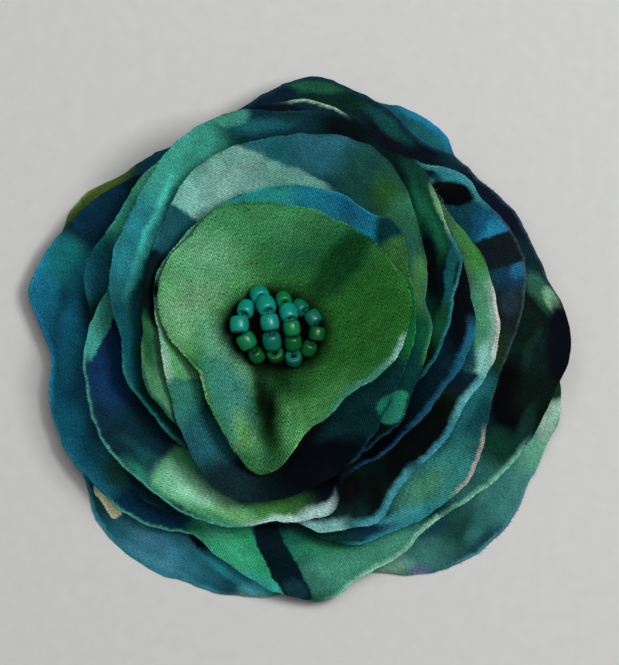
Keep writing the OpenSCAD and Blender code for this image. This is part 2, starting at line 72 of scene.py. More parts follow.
# One table a disc, a row for each section: angle, reach of the rim, height the wall climbs to, how far the
# edge rolls down
SECTIONS = [
    [
        (0, 22.8, 30.5, 0.6), (12, 24.2, 30.3, 0.8), (30, 23.5, 30.3, 0.8), (58, 22.2, 30.5, 0.8),
        (80, 21.7, 30.5, 0.6), (100, 22.7, 30.5, 0.6), (117, 23.9, 30.4, 0.5), (135, 22.6, 30.8, 0.6),
        (150, 23.2, 30.6, 0.6), (166, 22.5, 30.3, 0.4), (182, 20.2, 29.2, 0.2), (197, 17.3, 27.8, 0),
        (211, 16.7, 27.4, 0), (226, 18.2, 27.6, 0.2), (240, 20.8, 28, 0.5), (252, 24.1, 28.3, 1),
        (261, 26.6, 27.3, 1.5), (269, 25.6, 27.3, 1.5), (276, 22.6, 28, 1), (283, 19.7, 28.6, 0.6),
        (297, 18.2, 29.2, 0.4), (314, 17.4, 30, 0.4), (330, 19, 30.8, 0.6), (345, 21.5, 31, 0.8),
    ],
    [
        (0, 24.3, 28.8, 0.4), (12, 24.9, 28.8, 0.4), (24, 25.4, 28.8, 0.4), (33, 27.6, 28.2, 0.6),
        (42, 28.2, 28, 0.8), (52, 26.2, 28.6, 0.6), (64, 26.5, 28.8, 0.6), (82, 25.7, 28.8, 0.5),
        (100, 25.2, 28.7, 0.5), (122, 24.4, 28.8, 0.4), (142, 23.7, 28.8, 0.3), (160, 23.8, 28.6, 0.3),
        (178, 22.2, 28.2, 0.2), (195, 21.7, 27.4, 0.2), (210, 22.6, 26.8, 0.3), (222, 25, 26.2, 0.6),
        (233, 27.4, 25.8, 0.8), (243, 30.2, 25.2, 1), (256, 32.2, 25, 1.2), (270, 31.2, 25, 1.2),
        (283, 29.3, 25.4, 0.8), (302, 27.4, 26, 0.6), (322, 24.6, 27.2, 0.4), (342, 23.6, 28.4, 0.4),
    ],
    [
        (0, 27.5, 27, 0.4), (11, 26.8, 27, 0.4), (24, 29, 26.8, 0.6), (38, 31.8, 26.4, 0.8),
        (48, 34.2, 26.2, 1), (60, 36.2, 26.2, 1), (72, 36.1, 26.2, 1), (84, 35, 26.4, 0.8),
        (98, 34, 26.6, 0.8), (110, 33.3, 26.6, 0.6), (120, 31.9, 26.8, 0.5), (130, 29.8, 27.2, 0.4),
        (142, 27.7, 27.4, 0.3), (155, 26.1, 27.6, 0.2), (168, 24.8, 27.8, 0.2), (180, 24.2, 27.8, 0.2),
        (192, 25.2, 27.2, 0.2), (204, 26.2, 26.4, 0.4), (216, 25.8, 25.6, 0.4), (230, 25.6, 23.8, 0.4),
        (250, 27.4, 21.4, 0.4), (272, 28.2, 20.8, 0.4), (292, 27.4, 22.2, 0.4), (308, 27, 23.6, 0.4),
        (324, 27.7, 25, 0.6), (340, 26.7, 26.4, 0.4),
    ],
    [
        (2, 31.1, 25, 0.6), (12, 32.6, 24.6, 0.8), (21, 35.1, 24.2, 1.2), (30, 35.1, 24.2, 1),
        (38, 36.9, 23.8, 1), (47, 38.7, 23.4, 1), (54, 38.5, 23.4, 0.8), (60, 37.5, 23.6, 0.6),
        (68, 39.1, 23.4, 0.8), (80, 40, 23.2, 1), (90, 39.2, 23.4, 0.8), (101, 39.9, 23.2, 1),
        (112, 39.2, 23.4, 0.8), (121, 38.1, 23.6, 0.6), (130, 35.9, 24.2, 0.5), (142, 34.2, 24.6, 0.4),
        (155, 33.2, 24.8, 0.4), (166, 31.8, 25, 0.3), (176, 30.1, 25.2, 0.2), (186, 28.6, 25, 0.2),
        (197, 29.1, 24.2, 0.3), (208, 28.2, 23.2, 0.3), (224, 28, 22, 0.4), (240, 27.6, 20.4, 0.4),
        (260, 28.4, 19, 0.4), (282, 27.6, 19.2, 0.4), (306, 26.2, 21, 0.4), (330, 25.8, 22.8, 0.4),
        (346, 28.4, 24.2, 0.5),
    ],
    [
        (0, 35.5, 22, 0.6), (10, 35, 22, 0.6), (20, 35.2, 21.6, 0.6), (31, 35.7, 21.2, 0.6),
        (44, 37.6, 20.6, 0.6), (58, 39.2, 20.2, 0.6), (70, 40.2, 20, 0.8), (82, 41.6, 19.6, 1),
        (94, 40.5, 19.8, 0.8), (105, 39.4, 19.8, 0.6), (118, 37.4, 20, 0.6), (131, 35.1, 20.4, 0.4),
        (145, 33.2, 20.6, 0.4), (158, 31.8, 20.8, 0.3), (168, 31.7, 21, 0.3), (176, 33.7, 21, 0.3),
        (186, 35.5, 20.6, 0.4), (196, 36.4, 20, 0.6), (206, 38, 19.4, 0.8), (218, 38.4, 19, 1),
        (231, 37.8, 18.8, 1), (244, 38, 18.6, 1), (256, 37.5, 18.6, 1), (268, 35.6, 19, 0.8),
        (278, 35.7, 19.2, 0.8), (287, 34.7, 19.4, 0.8), (293, 29.9, 19.6, 0.4), (308, 29.8, 21, 0.4),
        (322, 30.2, 21.8, 0.4), (338, 31.6, 22, 0.4), (350, 34.1, 22, 0.5),
    ],
    [
        (4, 40.4, 21, 4.4), (12, 39.8, 20.8, 4.2), (20, 39.1, 20.4, 3.6), (28, 37.6, 19.6, 2.6),
        (37, 37, 18.8, 1.6), (50, 38, 17.8, 1), (66, 39, 17.2, 0.8), (84, 40.2, 16.8, 0.8),
        (100, 39, 17, 0.6), (114, 37.6, 17.2, 0.5), (128, 37.2, 17.6, 0.6), (140, 36.5, 17.8, 0.6),
        (151, 36.1, 17.8, 0.6), (162, 37.3, 17.6, 0.8), (168, 36.6, 17.4, 0.8), (177, 34.8, 17.4, 0.4),
        (190, 34.6, 17.2, 0.4), (204, 35.8, 16.6, 0.4), (220, 37.2, 16.2, 0.6), (242, 36.8, 15.8, 0.6),
        (262, 35, 15.8, 0.4), (274, 35.4, 16, 0.8), (282, 38.2, 17, 2), (290, 38.9, 17.6, 2.2),
        (297, 39.7, 18, 2), (304, 37.8, 18.6, 1.4), (312, 36, 19, 0.8), (324, 36.7, 19.2, 0.8),
        (336, 36.6, 19.6, 1.2), (346, 38.4, 20.4, 2.8), (355, 40.2, 20.9, 4),
    ],
    [
        (2, 44.1, 16.6, 2), (10, 45.8, 16.6, 2), (18, 46.4, 16.4, 2), (26, 45.4, 16.4, 1.8),
        (32, 43.9, 16.4, 1.6), (38, 43.8, 16.2, 1.6), (43, 42.4, 16, 1.2), (49, 39.9, 15.6, 0.8),
        (62, 39.6, 14.8, 0.8), (80, 40.4, 14.2, 0.8), (100, 39.2, 14, 0.8), (125, 37, 14, 0.6),
        (150, 35.8, 14, 0.6), (176, 35, 13.8, 0.6), (200, 36.4, 13.4, 0.6), (220, 38.1, 13, 0.6),
        (234, 40.1, 13, 0.8), (243, 38.6, 13, 0.6), (256, 36.4, 13, 0.5), (269, 35.6, 13, 0.5),
        (279, 38.8, 13.4, 1), (288, 42, 13.8, 2), (300, 43.3, 14.4, 3), (311, 44, 14.8, 3.4),
        (319, 44.8, 15, 3.4), (327, 43.7, 15.6, 2.8), (335, 41.9, 16.2, 1.8), (343, 40.9, 16.8, 0.6),
        (351, 41.9, 16.8, 1.6),
    ],
    [
        (3, 52.7, 15, 1), (12, 49.7, 14.8, 1), (24, 48.1, 14.4, 1.2), (37, 45.7, 14, 1.4),
        (44, 44.7, 13.8, 1.4), (52, 42.9, 13.8, 1.4), (61, 44.1, 13.4, 2), (72, 45.7, 13, 2.6),
        (82, 46.3, 12.8, 3), (92, 43.6, 12.8, 2.6), (104, 39.8, 12.6, 2), (120, 37.9, 12.2, 1.6),
        (133, 38.1, 12, 1.8), (144, 40.9, 11.8, 3), (155, 43.5, 11.6, 5), (171, 46.8, 11.6, 7),
        (179, 44.7, 11.4, 6.6), (187, 42.9, 11.3, 5.6), (196, 44.1, 11.3, 6), (208, 45.6, 11.2, 5.7),
        (222, 44.8, 11, 4.4), (235, 44.3, 10.8, 3.4), (246, 41.4, 10.8, 3), (255, 43.8, 10.9, 4.2),
        (264, 47.2, 11.2, 5.4), (272, 49.9, 11.2, 6.4), (281, 51.3, 11.2, 6.8), (288, 48.7, 11.3, 5.2),
        (298, 47.3, 11.4, 4), (309, 45.8, 11.8, 3), (319, 47.4, 12.2, 2.6), (329, 49.4, 13, 2),
        (339, 50.9, 14.2, 1.6), (348, 52.2, 15, 1.2), (355, 53.5, 15.4, 1),
    ],
    [
        (4, 49, 10.4, 5), (18, 46.6, 10, 5), (33, 44.7, 9.6, 5.5), (42, 44.9, 9.4, 6.4),
        (50, 47, 9.2, 7.8), (61, 46.9, 9.2, 8), (70, 44.9, 9.2, 7), (82, 43.6, 8.8, 6),
        (98, 41, 8.7, 5), (113, 38.8, 8.6, 5), (126, 39.9, 8.7, 5.4), (136, 40.6, 8.8, 6.6),
        (146, 43.6, 8.8, 7.6), (157, 44.4, 8.8, 7.6), (172, 43.4, 8.8, 6), (190, 41.6, 8.8, 6),
        (206, 43.2, 8.8, 6.4), (218, 46, 8.8, 7.2), (227, 49.3, 8.8, 7.8), (239, 51, 8.8, 7.9),
        (252, 50, 8.8, 7.4), (264, 50.3, 8.8, 7.2), (282, 48.6, 8.8, 6.6), (291, 48.7, 8.8, 6.8),
        (299, 52.4, 9.2, 7.6), (308, 55.3, 9.4, 8.2), (319, 56.3, 9.8, 8.6), (331, 54.4, 10.4, 7.4),
        (343, 54.1, 11.2, 5.8), (350, 52.6, 11, 5.4), (356, 50.8, 10.8, 5),
    ],
]

# Pleats that the stitches pull in: disc, angle, half width in degrees, depth
FOLDS = [
    (1, 261, 9, 1.6), (1, 282, 7, -0.6), (1, 246, 8, -0.4), (1, 318, 14, 0.5), (1, 205, 12, 0.5),
    (2, 262, 8, 0.8), (2, 210, 10, 0.5), (2, 300, 10, 0.5),
    (3, 126, 9, 0.7), (3, 36, 8, 0.6), (4, 60, 7, 0.8), (4, 28, 6, 0.9), (4, 150, 10, -0.4),
    (5, 182, 8, 0.7), (5, 300, 8, 0.8), (6, 160, 7, 0.8), (6, 338, 7, 0.7), (7, 40, 7, 1.2),
    (7, 342, 7, -0.5), (8, 187, 6, 0.5), (8, 155, 8, 0.5), (8, 288, 6, 0.6),
]

# Ground dye of each disc
GROUND = ["#28662a", "#0a2a30", "#041210", "#083028", "#092430", "#082622", "#0c3238", "#0c2a2e", "#164450"]

# Patches of each disc, the lower ones first; most are the print, a few are painted shade or painted light,
# as marked: x and y from the stitches, half length, half width, turn in degrees, softness of the border,
# squareness (2 is an ellipse, more is boxier), colour
PATCHES = [
    [
        (1.1, 16.8, 4, 7, 0, 0.8, 2, "#2f7446"), (7.5, 15.9, 9, 6, -20, 0.4, 2, "#24683f"),
        (11.2, 11.6, 9, 3.2, 52, 0.35, 2, "#134522"), (-14.5, 9.5, 10, 13, 0, 0.45, 2, "#4a9059"),
        (-4, 19, 12, 4.5, 5, 0.6, 2, "#428e58"), (-18.1, 2.7, 3.5, 6, 0, 0.8, 2, "#66a070"),
        (-14.5, 5, 3, 4, -50, 0.8, 2, "#6a9c72"), (-13.5, 13.2, 5, 4, 0, 0.9, 2, "#66a87a"),
        (-9, -5.5, 9, 3.4, -52, 0.5, 2, "#56956f"), (-9.9, -10.8, 6, 3.2, -60, 0.6, 2, "#388674"),
        (-7.1, -16.1, 3.5, 7, 20, 0.6, 2, "#36786a"), (4.8, -14.3, 8, 5, 35, 0.7, 2, "#336f36"),
        (9, -13.2, 6, 2.4, 40, 0.8, 2, "#45884a"), (-6.1, -20, 4.6, 1.8, 105, 0.8, 2, "#5c9a5c"),
        # (2.2, -18.6) is a painted highlight on the lit flank of the pleat at the bottom
        (2.2, -18.6, 5.4, 2, 98, 0.8, 2, "#6cc076"), (-3.1, -24.3, 6, 2.6, 0, 0.7, 2, "#2f6840"),
        # painted shade down the valley of the pleat
        (-2.2, -14, 8, 2.2, 97, 0.8, 2, "#082409"), (-2.4, -13.2, 6.5, 1.2, 97, 0.9, 2, "#020b03"),
        # painted shade in the hollow round the beads, on this line and the next
        (1.2, -9.4, 4.4, 2.6, -8, 1, 2, "#14401c"),
        (-0.6, -0.4, 10.2, 8, -8, 0.2, 2, "#020a04"),
    ],
    [
        (-12.6, 19.6, 8, 4, 35, 0.4, 2, "#3f9474"), (14.8, 19.9, 8, 4, -30, 0.4, 2, "#1c7595"),
        (7.5, 22.3, 17, 4, -15, 0.15, 4, "#1f8096"), (-3.1, 23.8, 6, 3.5, 0, 0.4, 2, "#288e88"),
        (13, 21.6, 5, 2, -28, 0.8, 2, "#176180"), (20.7, 17.2, 3.6, 3.6, 0, 0.3, 2, "#083438"),
        (23.2, 11.6, 5, 4.6, 0, 0.2, 3, "#38703a"), (24, 1.3, 4, 8, 0, 0.5, 2, "#176b3a"),
        (-18.4, -14.3, 4, 7, -20, 0.3, 2, "#2d7564"), (-11.7, -21.6, 8, 4.5, -45, 0.5, 2, "#1d565e"),
        (-16.5, -1.6, 6, 7.7, 0, 0.05, 5, "#569c66"), (-6.1, -27.4, 9, 4, 0, 0.5, 2, "#0a2429"),
        # (7.5, -24.3): near-black of the deep lower-right interior, partly the print and partly painted
        # shade
        (7.5, -24.3, 12, 8, 35, 0.5, 2, "#01050a"), (17, -13.4, 8, 5, 40, 0.4, 2, "#093033"),
        (12, -17.5, 5, 1.4, 30, 0.6, 2, "#082a2e"), (20.9, -14.6, 3.4, 2.6, 25, 0.12, 3, "#1a7358"),
        (-21, 9.5, 3.5, 2, 60, 0.3, 2, "#050c18"),
    ],
    [
        (2.9, 32.4, 10, 3.5, -15, 0.15, 3, "#1a5a62"), (10.2, 31.5, 7, 5, 0, 0.6, 2, "#255e6a"),
        (6, 33.5, 5, 1.5, -12, 0.8, 2, "#26626e"), (-13.5, 26, 7, 6, 45, 0.12, 3, "#72b3a6"),
        (-3.1, 26, 13.7, 4.8, -22, 0.1, 4, "#649c8e"), (-10, 25.5, 6, 3, 35, 0.9, 2, "#82b1a5"),
        (17, 26.5, 7, 7, -50, 0.4, 2, "#184841"), (20.6, 23, 5, 3.4, -60, 0.5, 2, "#27592f"),
        (23.4, 20, 4, 4, -60, 0.4, 2, "#2d6b4b"), (23.6, 12.4, 3, 6, 0, 0.3, 2, "#276350"),
        (25.9, 6.4, 2.6, 7, 0, 0.4, 2, "#48824c"), (25.4, -2.5, 3, 6, 0, 0.5, 2, "#0f5938"),
        (-18.9, 16.6, 4.5, 5.6, 50, 0.1, 4, "#1b525a"), (-21.5, 10.5, 3, 3, 60, 0.5, 2, "#081c22"),
        (-22.3, -7.9, 3.5, 9, 15, 0.2, 2, "#4a865c"), (-23.6, -3, 5, 1.2, 98, 0.6, 2, "#1f5836"),
        (21.2, -8.8, 6, 7, 0, 0.5, 2, "#0a403c"), (20.9, -14.6, 3.4, 2.6, 25, 0.12, 3, "#2c8f70"),
        # near-black of the deep lower-right interior, partly the print and partly painted shade
        (7, -25, 14, 6, 30, 0.6, 2, "#010508"),
    ],
    [
        (-18.1, 29.6, 10, 6, 48, 0.5, 2, "#3a9684"), (-27.6, 8.6, 4.5, 11, 0, 0.5, 2, "#12484e"),
        (-26.6, 15.5, 8, 3, 72, 0.6, 2, "#247c84"), (-23.4, 17, 9, 1.1, 70, 0.6, 2, "#4cd4c8"),
        (2, 37, 12, 4, 0, 0.3, 2, "#0a2c34"),
        (-3.4, 36.5, 5, 1.2, 6, 0.7, 2, "#175960"), (-9, 38.6, 3.5, 2.2, 0, 0.25, 2, "#3a8a78"),
        (13.9, 34.6, 7, 4, -30, 0.4, 2, "#010c0d"), (20.5, 30.5, 6, 4, -45, 0.4, 2, "#041c18"),
        (25.3, 26.5, 5, 1.6, -62, 0.5, 2, "#0b3c2e"), (27.6, 18, 5, 7, 0, 0.4, 2, "#104530"),
        (27.4, 19.6, 7, 1, -66, 0.5, 2, "#165c44"), (27.4, 11.5, 7, 1.7, 96, 0.4, 2, "#02090b"),
        (31.2, 4.9, 3, 9, 0, 0.4, 2, "#03080c"), (31.2, 10.5, 8, 0.9, 80, 0.4, 2, "#0f5052"),
        (29.4, -0.6, 5, 1.7, 78, 0.4, 2, "#134c2f"), (-28.2, -6, 3, 9, 0, 0.4, 2, "#0f5059"),
        (25.8, -7, 4, 6, 0, 0.4, 2, "#021407"), (29.8, 21, 5, 0.9, -68, 0.3, 3, "#6a9a72"),
        # near-black of the deep lower-right interior, partly the print and partly painted shade
        (4, -24, 19, 8, 0, 0.5, 2, "#010508"),
    ],
    [
        (-31.5, -8.8, 5, 10, 0, 0.4, 2, "#0c3052"), (-33, -16, 4, 2, 110, 0.6, 2, "#0c304a"),
        (-32.5, 1.7, 8, 1.9, 66, 0.15, 4, "#3a9284"), (-26, -20.5, 8, 4.4, -38, 0.4, 2, "#062834"),
        (-23, -24.6, 6, 1.3, -38, 0.6, 2, "#104848"), (-26, -27, 3.4, 1.8, -42, 0.7, 2, "#247462"),
        (-3.1, -32.9, 9, 3.5, 5, 0.3, 2, "#3f7f3c"),
        (-13.2, -29.5, 9.6, 5, -31, 0.1, 6, "#3f8a5c"), (-17.4, -28.6, 5, 2.6, -33, 0.5, 3, "#7ac09a"),
        (-12, -31.6, 5, 1.6, -28, 0.7, 2, "#94d8b0"), (-7.5, -34.2, 5, 1.5, -22, 0.6, 2, "#62a068"),
        (33.5, 4.9, 3, 12, 0, 0.4, 2, "#040b0f"), (-1.6, 39.3, 7, 1.5, 0, 0.3, 2, "#040c18"),
        # (16.7, 34.2): painted shade in a crease
        (16.7, 34.2, 6, 3, -35, 0.4, 2, "#031218"), (20.5, 34.2, 10, 1.1, -40, 0.3, 3, "#0a0a18"),
        # near-black of the deep lower-right interior, partly the print and partly painted shade
        (15, -22, 16, 7, 45, 0.6, 2, "#000204"),
    ],
    [
        (-25.1, 27.8, 6, 3, 50, 0.4, 2, "#58bf9a"), (-29.6, 20.5, 6, 3, 62, 0.5, 2, "#3fae90"),
        (-33.1, 12.3, 4, 6, 0, 0.4, 2, "#165862"), (-34.9, 9, 1.6, 4, 0, 0.4, 2, "#16596a"),
        (20.5, 34.2, 12, 1.1, -40, 0.3, 3, "#1c1020"), (33.5, 14.5, 4.5, 9, 20, 0.4, 2, "#385a45"),
        (35.6, 13.5, 7, 2, 112, 0.6, 2, "#357434"), (37.5, -0.5, 4, 9.5, 0, 0.4, 2, "#3f8568"),
        (38.6, 4, 6, 1.6, 88, 0.7, 2, "#4e8b68"), (33.4, 0.5, 9, 2, 98, 0.3, 3, "#14404a"),
        (37.3, -7.5, 6, 1.4, 72, 0.6, 2, "#7cb4ac"), (34.4, -10.8, 3.2, 3, 0, 0.2, 2, "#08222c"),
        # (25.8, -20.5) and the two on the next line: near-black of the deep lower-right interior, partly the
        # print and partly painted shade
        (29.8, -13.6, 3, 1.6, 40, 0.5, 2, "#1c4030"), (25.8, -20.5, 12, 5.5, 50, 0.4, 2, "#010605"),
        (13, -29.5, 4, 4, 0, 0.6, 2, "#010605"), (17.5, -30.5, 1.6, 5, 0, 0.6, 2, "#020b08"),
    ],
    [
        (31, 27, 8, 2.4, -32, 0.3, 2, "#25767e"), (34, 19.5, 5, 4.5, -20, 0.3, 2, "#0a3a46"),
        (39.4, 18, 4.4, 4, -40, 0.3, 2, "#0e4a68"), (39.6, 17.2, 4.4, 2.4, 60, 0.5, 2, "#1d789c"),
        (31.4, 24.6, 4.4, 2.3, -12, 0.15, 2, "#010304"), (42.3, 9, 2.5, 4, -50, 0.15, 2, "#103246"),
        (44, 10.8, 1.6, 2.2, -50, 0.4, 2, "#1c6080"),
        (40.4, 14.1, 7, 3, 15, 0.12, 3, "#0b171c"), (42, 2.2, 4, 5, 0, 0.3, 2, "#0f1b1e"),
        (42.6, 4.8, 1.8, 2.4, 0, 0.5, 2, "#1c2e36"),
        (41.4, -5.1, 2.5, 4.5, 0, 0.3, 2, "#122b1a"), (20.5, 34.2, 12, 1.1, -40, 0.3, 3, "#0a0c14"),
        (36.4, -15.5, 6, 6, 0, 0.4, 2, "#1e6668"), (36.8, -16.8, 6, 2, 62, 0.5, 2, "#0f4449"),
        (29, -28.2, 9, 5.4, 42, 0.4, 2, "#2b746e"), (26.4, -29.6, 5, 2.4, 40, 0.7, 2, "#3d7d62"),
        (22.5, -35.3, 8, 1.7, 20, 0.4, 2, "#348488"), (14, -37.4, 7, 1.2, 8, 0.5, 2, "#0a2e3e"),
        (8, -38.6, 9, 1.4, -4, 0.4, 2, "#072e2b"),
    ],
    [
        (-3.1, 42.5, 9, 4, 15, 0.3, 2, "#071c2c"), (10.2, 42.8, 7, 4, -15, 0.35, 2, "#062620"),
        (6.5, 44.4, 6, 1.2, -6, 0.5, 2, "#185038"), (22.1, 33.3, 9, 5, -40, 0.3, 2, "#07111a"),
        (20, 37.4, 5, 1.4, -38, 0.5, 2, "#0f4644"), (40.4, 23.2, 9, 5, -50, 0.3, 2, "#0a1424"),
        (45.6, 0.9, 3.8, 5, 0, 0.3, 2, "#06110e"), (48.2, 5.8, 4.6, 1.9, -58, 0.12, 2, "#1a3c30"),
        (47.8, 6.8, 3.8, 1.4, -58, 0.4, 2, "#30604f"), (50.2, 4.6, 3.2, 1.4, -63, 0.25, 2, "#74a584"),
        (47.4, -8.2, 4, 7, 30, 0.4, 2, "#081d18"), (46, -4.4, 5, 0.9, 70, 0.5, 2, "#0e2c22"),
        (44.8, 2, 3, 3, 0, 0.5, 2, "#0a1c16"), (36.5, -27.5, 7, 3, 42, 0.5, 2, "#276158"),
        (51.6, -3.3, 2.8, 8, 0, 0.3, 2, "#050812"), (42.3, -13.4, 3.6, 8, 0, 0.4, 2, "#010203"),
        (47.4, -13.5, 4, 5, 20, 0.5, 2, "#06140f"), (45.2, -17.2, 4, 1.2, 62, 0.5, 2, "#0c3026"),
        (40.4, -22, 3.6, 3.4, 0, 0.5, 2, "#0a3426"),
        (15.7, -42.6, 13, 7, 10, 0.4, 2, "#408a72"), (4.4, -39.4, 4, 4, 0, 0.4, 2, "#1b6851"),
        (12, -39.6, 8, 1.6, 12, 0.7, 2, "#2f8a64"), (-8.6, -41.7, 11, 6, -40, 0.12, 4, "#2f9c6c"),
        # (-12.2, -37.2): painted light where the lip of a disc above shades this one
        (-10, -39, 7, 2, -50, 0.7, 2, "#43b886"), (-12.2, -37.2, 3.6, 1.6, -40, 0.7, 2, "#4cc090"),
        (-4.4, -48.1, 6, 2.5, -15, 0.3, 2, "#37a595"),
        (0.5, -43.6, 9, 2.5, -63, 0.1, 5, "#041a22"), (3, -48.5, 2.5, 2, -63, 0.4, 2, "#12383f"),
        (-44.1, 7.8, 3.5, 10, 0, 0.6, 2, "#1c7898"), (-39, 12.3, 4, 7, 60, 0.5, 2, "#1b7a80"),
        (-40.1, -9.7, 6, 11, 0, 0.6, 2, "#145874"), (-38.6, -19.6, 3.4, 5, 0, 0.7, 2, "#1c7894"),
        (-38.6, -1, 9, 1.8, 82, 0.7, 2, "#1a7490"),
        (-33.3, 22, 6, 6.4, 40, 0.15, 3, "#0c3348"), (-32.8, -26.2, 7, 6, 0, 0.5, 2, "#1b647a"),
        (-29.5, -26.5, 3, 3, 0, 0.4, 2, "#20584a"), (-23.6, -34.4, 7.4, 3.6, -20, 0.25, 3, "#0e3852"),
    ],
    [
        (-35, 24.4, 12, 3, 44, 0.3, 2, "#4c682e"), (-36.6, 25.4, 11, 1, 44, 0.7, 2, "#86a050"),
        (-24.3, 30.6, 3.4, 2, 40, 0.4, 2, "#14485a"),
        (24.9, 37, 9, 4, -38, 0.4, 2, "#185a60"), (22, 39.4, 3, 1.6, -30, 0.5, 2, "#124c52"),
        (-21.8, -42.6, 11, 6, -35, 0.5, 2, "#2b7586"), (-23.5, -39.8, 6, 1.8, -38, 0.7, 2, "#42849c"),
        (-32, -32, 3.6, 1.1, -58, 0.1, 6, "#f2f8c4"), (-13.9, -40.4, 4.2, 1.4, -42, 0.2, 2, "#03141a"),
        # these two: a painted highlight along the rolled lower lip, bright enough to show through its shade
        (-8.5, -45.2, 6, 1.5, -30, 0.5, 2, "#2c98a4"), (-2.6, -48.4, 4.6, 1.5, 0, 0.4, 2, "#50bcc8"),
        (-23.6, -43.4, 6, 1.4, -28, 0.6, 2, "#4a96ac"),
        (47.5, -20, 9, 4, 68, 0.4, 2, "#5fa287"), (50.3, -15.6, 5.4, 1.8, 72, 0.3, 2, "#94bba6"),
        (50.7, -11.6, 2.6, 2.2, 0, 0.4, 2, "#123022"), (41.4, -30.7, 7, 6, 0, 0.5, 2, "#3c7a74"),
        (33, -38.6, 6, 3.4, 68, 0.6, 2, "#17443c"), (37.5, -35.5, 5, 1.4, 62, 0.7, 2, "#2f6f68"),
        (23.6, -43, 8, 3.6, 10, 0.5, 2, "#3b756f"), (20.5, -44.2, 4, 1.6, 0, 0.7, 2, "#6e9f84"),
        (26, -44.9, 1.6, 0.9, 0, 0.6, 2, "#5d6a94"),
    ],
]

# Bands that run along a rim, partly painted highlights where a rolled edge catches the light and partly the
# rim's own colour: from and to angle, how far in from the rim, width, colour
RIMS = [
    [
        (302, 352, 0, 1.3, "#418c74"), (341, 357, 0, 0.8, "#8cbcac"), (196, 226, 0.5, 0.25, "#1f5238"),
        (204, 224, 0, 0.5, "#5c8f5c"), (285, 302, 0, 0.5, "#4a8a58"),
    ],
    [
        (120, 160, 0, 0.9, "#4f9276"), (166, 192, 0, 0.6, "#7cb094"), (188, 207, 0, 1.5, "#84b49c"),
        (296, 330, 0, 0.3, "#0c3040"),
    ],
    [
        (285, 345, 0, 0.3, "#0f3442"), (345, 20, 0, 0.5, "#327456"), (195, 240, 0, 0.5, "#23604f"),
    ],
    [
        (290, 340, 0, 0.3, "#0e3248"), (190, 250, 0, 0.5, "#1c6c6a"), (340, 30, 0, 0.4, "#226a72"),
    ],
    [
        (72, 88, 0, 0.3, "#7ca688"), (258, 270, 0, 0.6, "#8cbcb0"), (266, 278, 0, 1.1, "#a8cfc5"),
        (276, 288, 0, 2, "#a4cbc6"), (290, 300, 0, 1.2, "#06181c"),
        (297, 322, 0, 0.4, "#12405a"), (322, 350, 0, 0.9, "#17506a"),
        (345, 3, 0, 1.4, "#1d6078"), (186, 262, 0, 0.3, "#438c80"),
    ],
    [
        (266, 276, 0, 0.8, "#549a94"), (274, 290, 0, 2, "#78b4ac"), (290, 314, 0, 1.3, "#3c8a96"),
        (314, 334, 0, 0.9, "#357c8c"), (332, 348, 0, 1.2, "#50989c"), (350, 12, 0, 0.8, "#b0b6ac"),
        (350, 12, 0.9, 0.8, "#6f9c88"),
    ],
    [
        (316, 334, 0, 0.6, "#a8a49c"), (288, 312, 0, 0.5, "#2a7c8c"), (350, 30, 0, 0.25, "#323e42"),
        (30, 50, 0, 0.8, "#357c80"),
    ],
    [
        (280, 312, 0, 0.7, "#7cb8a0"), (312, 336, 0, 0.7, "#64a48c"), (160, 200, 0, 0.8, "#1f84a8"),
        (200, 222, 0, 0.6, "#1a7a94"), (225, 262, 0, 0.35, "#43a088"), (40, 100, 0, 0.4, "#123044"),
        (8, 44, 0, 0.2, "#2c4250"),
    ],
    [
        (200, 258, 0, 0.7, "#328ca0"), (305, 330, 0, 0.6, "#4c8c94"), (45, 62, 0, 1.3, "#1b7494"),
        (260, 300, 0, 0.4, "#568a74"),
    ],
]

# One row a bead, arch by arch: x and y from the stitches, z, how far its bore turns up, share of the full
# size, glass colour; the darker two are copies of the teal and the green with painted shade, for beads that
# lie in shade
ARCHES = [
    [(-6, 3.36, 21.1, 0.4, 0.92, "teal"), (-7.23, 0.57, 22.2, 0, 1, "teal"),
     (-5.91, -2.43, 22, 0, 0.98, "green"), (-4.05, -5.05, 21.2, -0.5, 0.8, "shaded green")],
    [(-3.55, 5.85, 20.8, 0.5, 1, "teal"), (-2.38, 4, 22.9, 0.2, 1.02, "teal"),
     (-1.7, 0.92, 23.8, 0, 0.98, "teal"), (-1.32, -2.44, 23.4, 0, 0.98, "shaded teal"),
     (-0.7, -4.85, 21, -1.4, 0.92, "shaded green")],
    [(0.8, 5.05, 21, 0.4, 0.84, "green"), (1.7, 2.7, 23.1, 0, 0.96, "teal"),
     (2.3, -0.08, 23.8, 0, 0.9, "green"), (2.55, -2.7, 22.6, 0, 0.9, "shaded green"),
     (2.6, -5.55, 21, -1.3, 0.9, "shaded teal")],
    [(3.75, 3.65, 20.7, 0.3, 0.85, "shaded teal"), (6.15, 1.8, 21.4, 0, 0.85, "shaded teal"),
     (6.85, -1.1, 22, 0, 0.86, "shaded green"), (5.4, -3.85, 21.4, -0.3, 0.8, "shaded green")],
]
BEAD_R, BEAD_LEN, BORE_R = 1.78, 2.95, 0.5
# Glass colours; the darker two are copies of the teal and the green with painted shade, for the beads in the
# hollow and on the right
GLASS = {"teal": "#0b9483", "green": "#0a7e48", "shaded teal": "#08705c", "shaded green": "#065c2c"}


def linear(hex_colour):
    """An sRGB hex colour as linear red, green, blue and alpha."""
    parts = [int(hex_colour[i:i + 2], 16) / 255 for i in (1, 3, 5)]
    return [c / 12.92 if c <= 0.04045 else ((c + 0.055) / 1.055) ** 2.4 for c in parts] + [1]


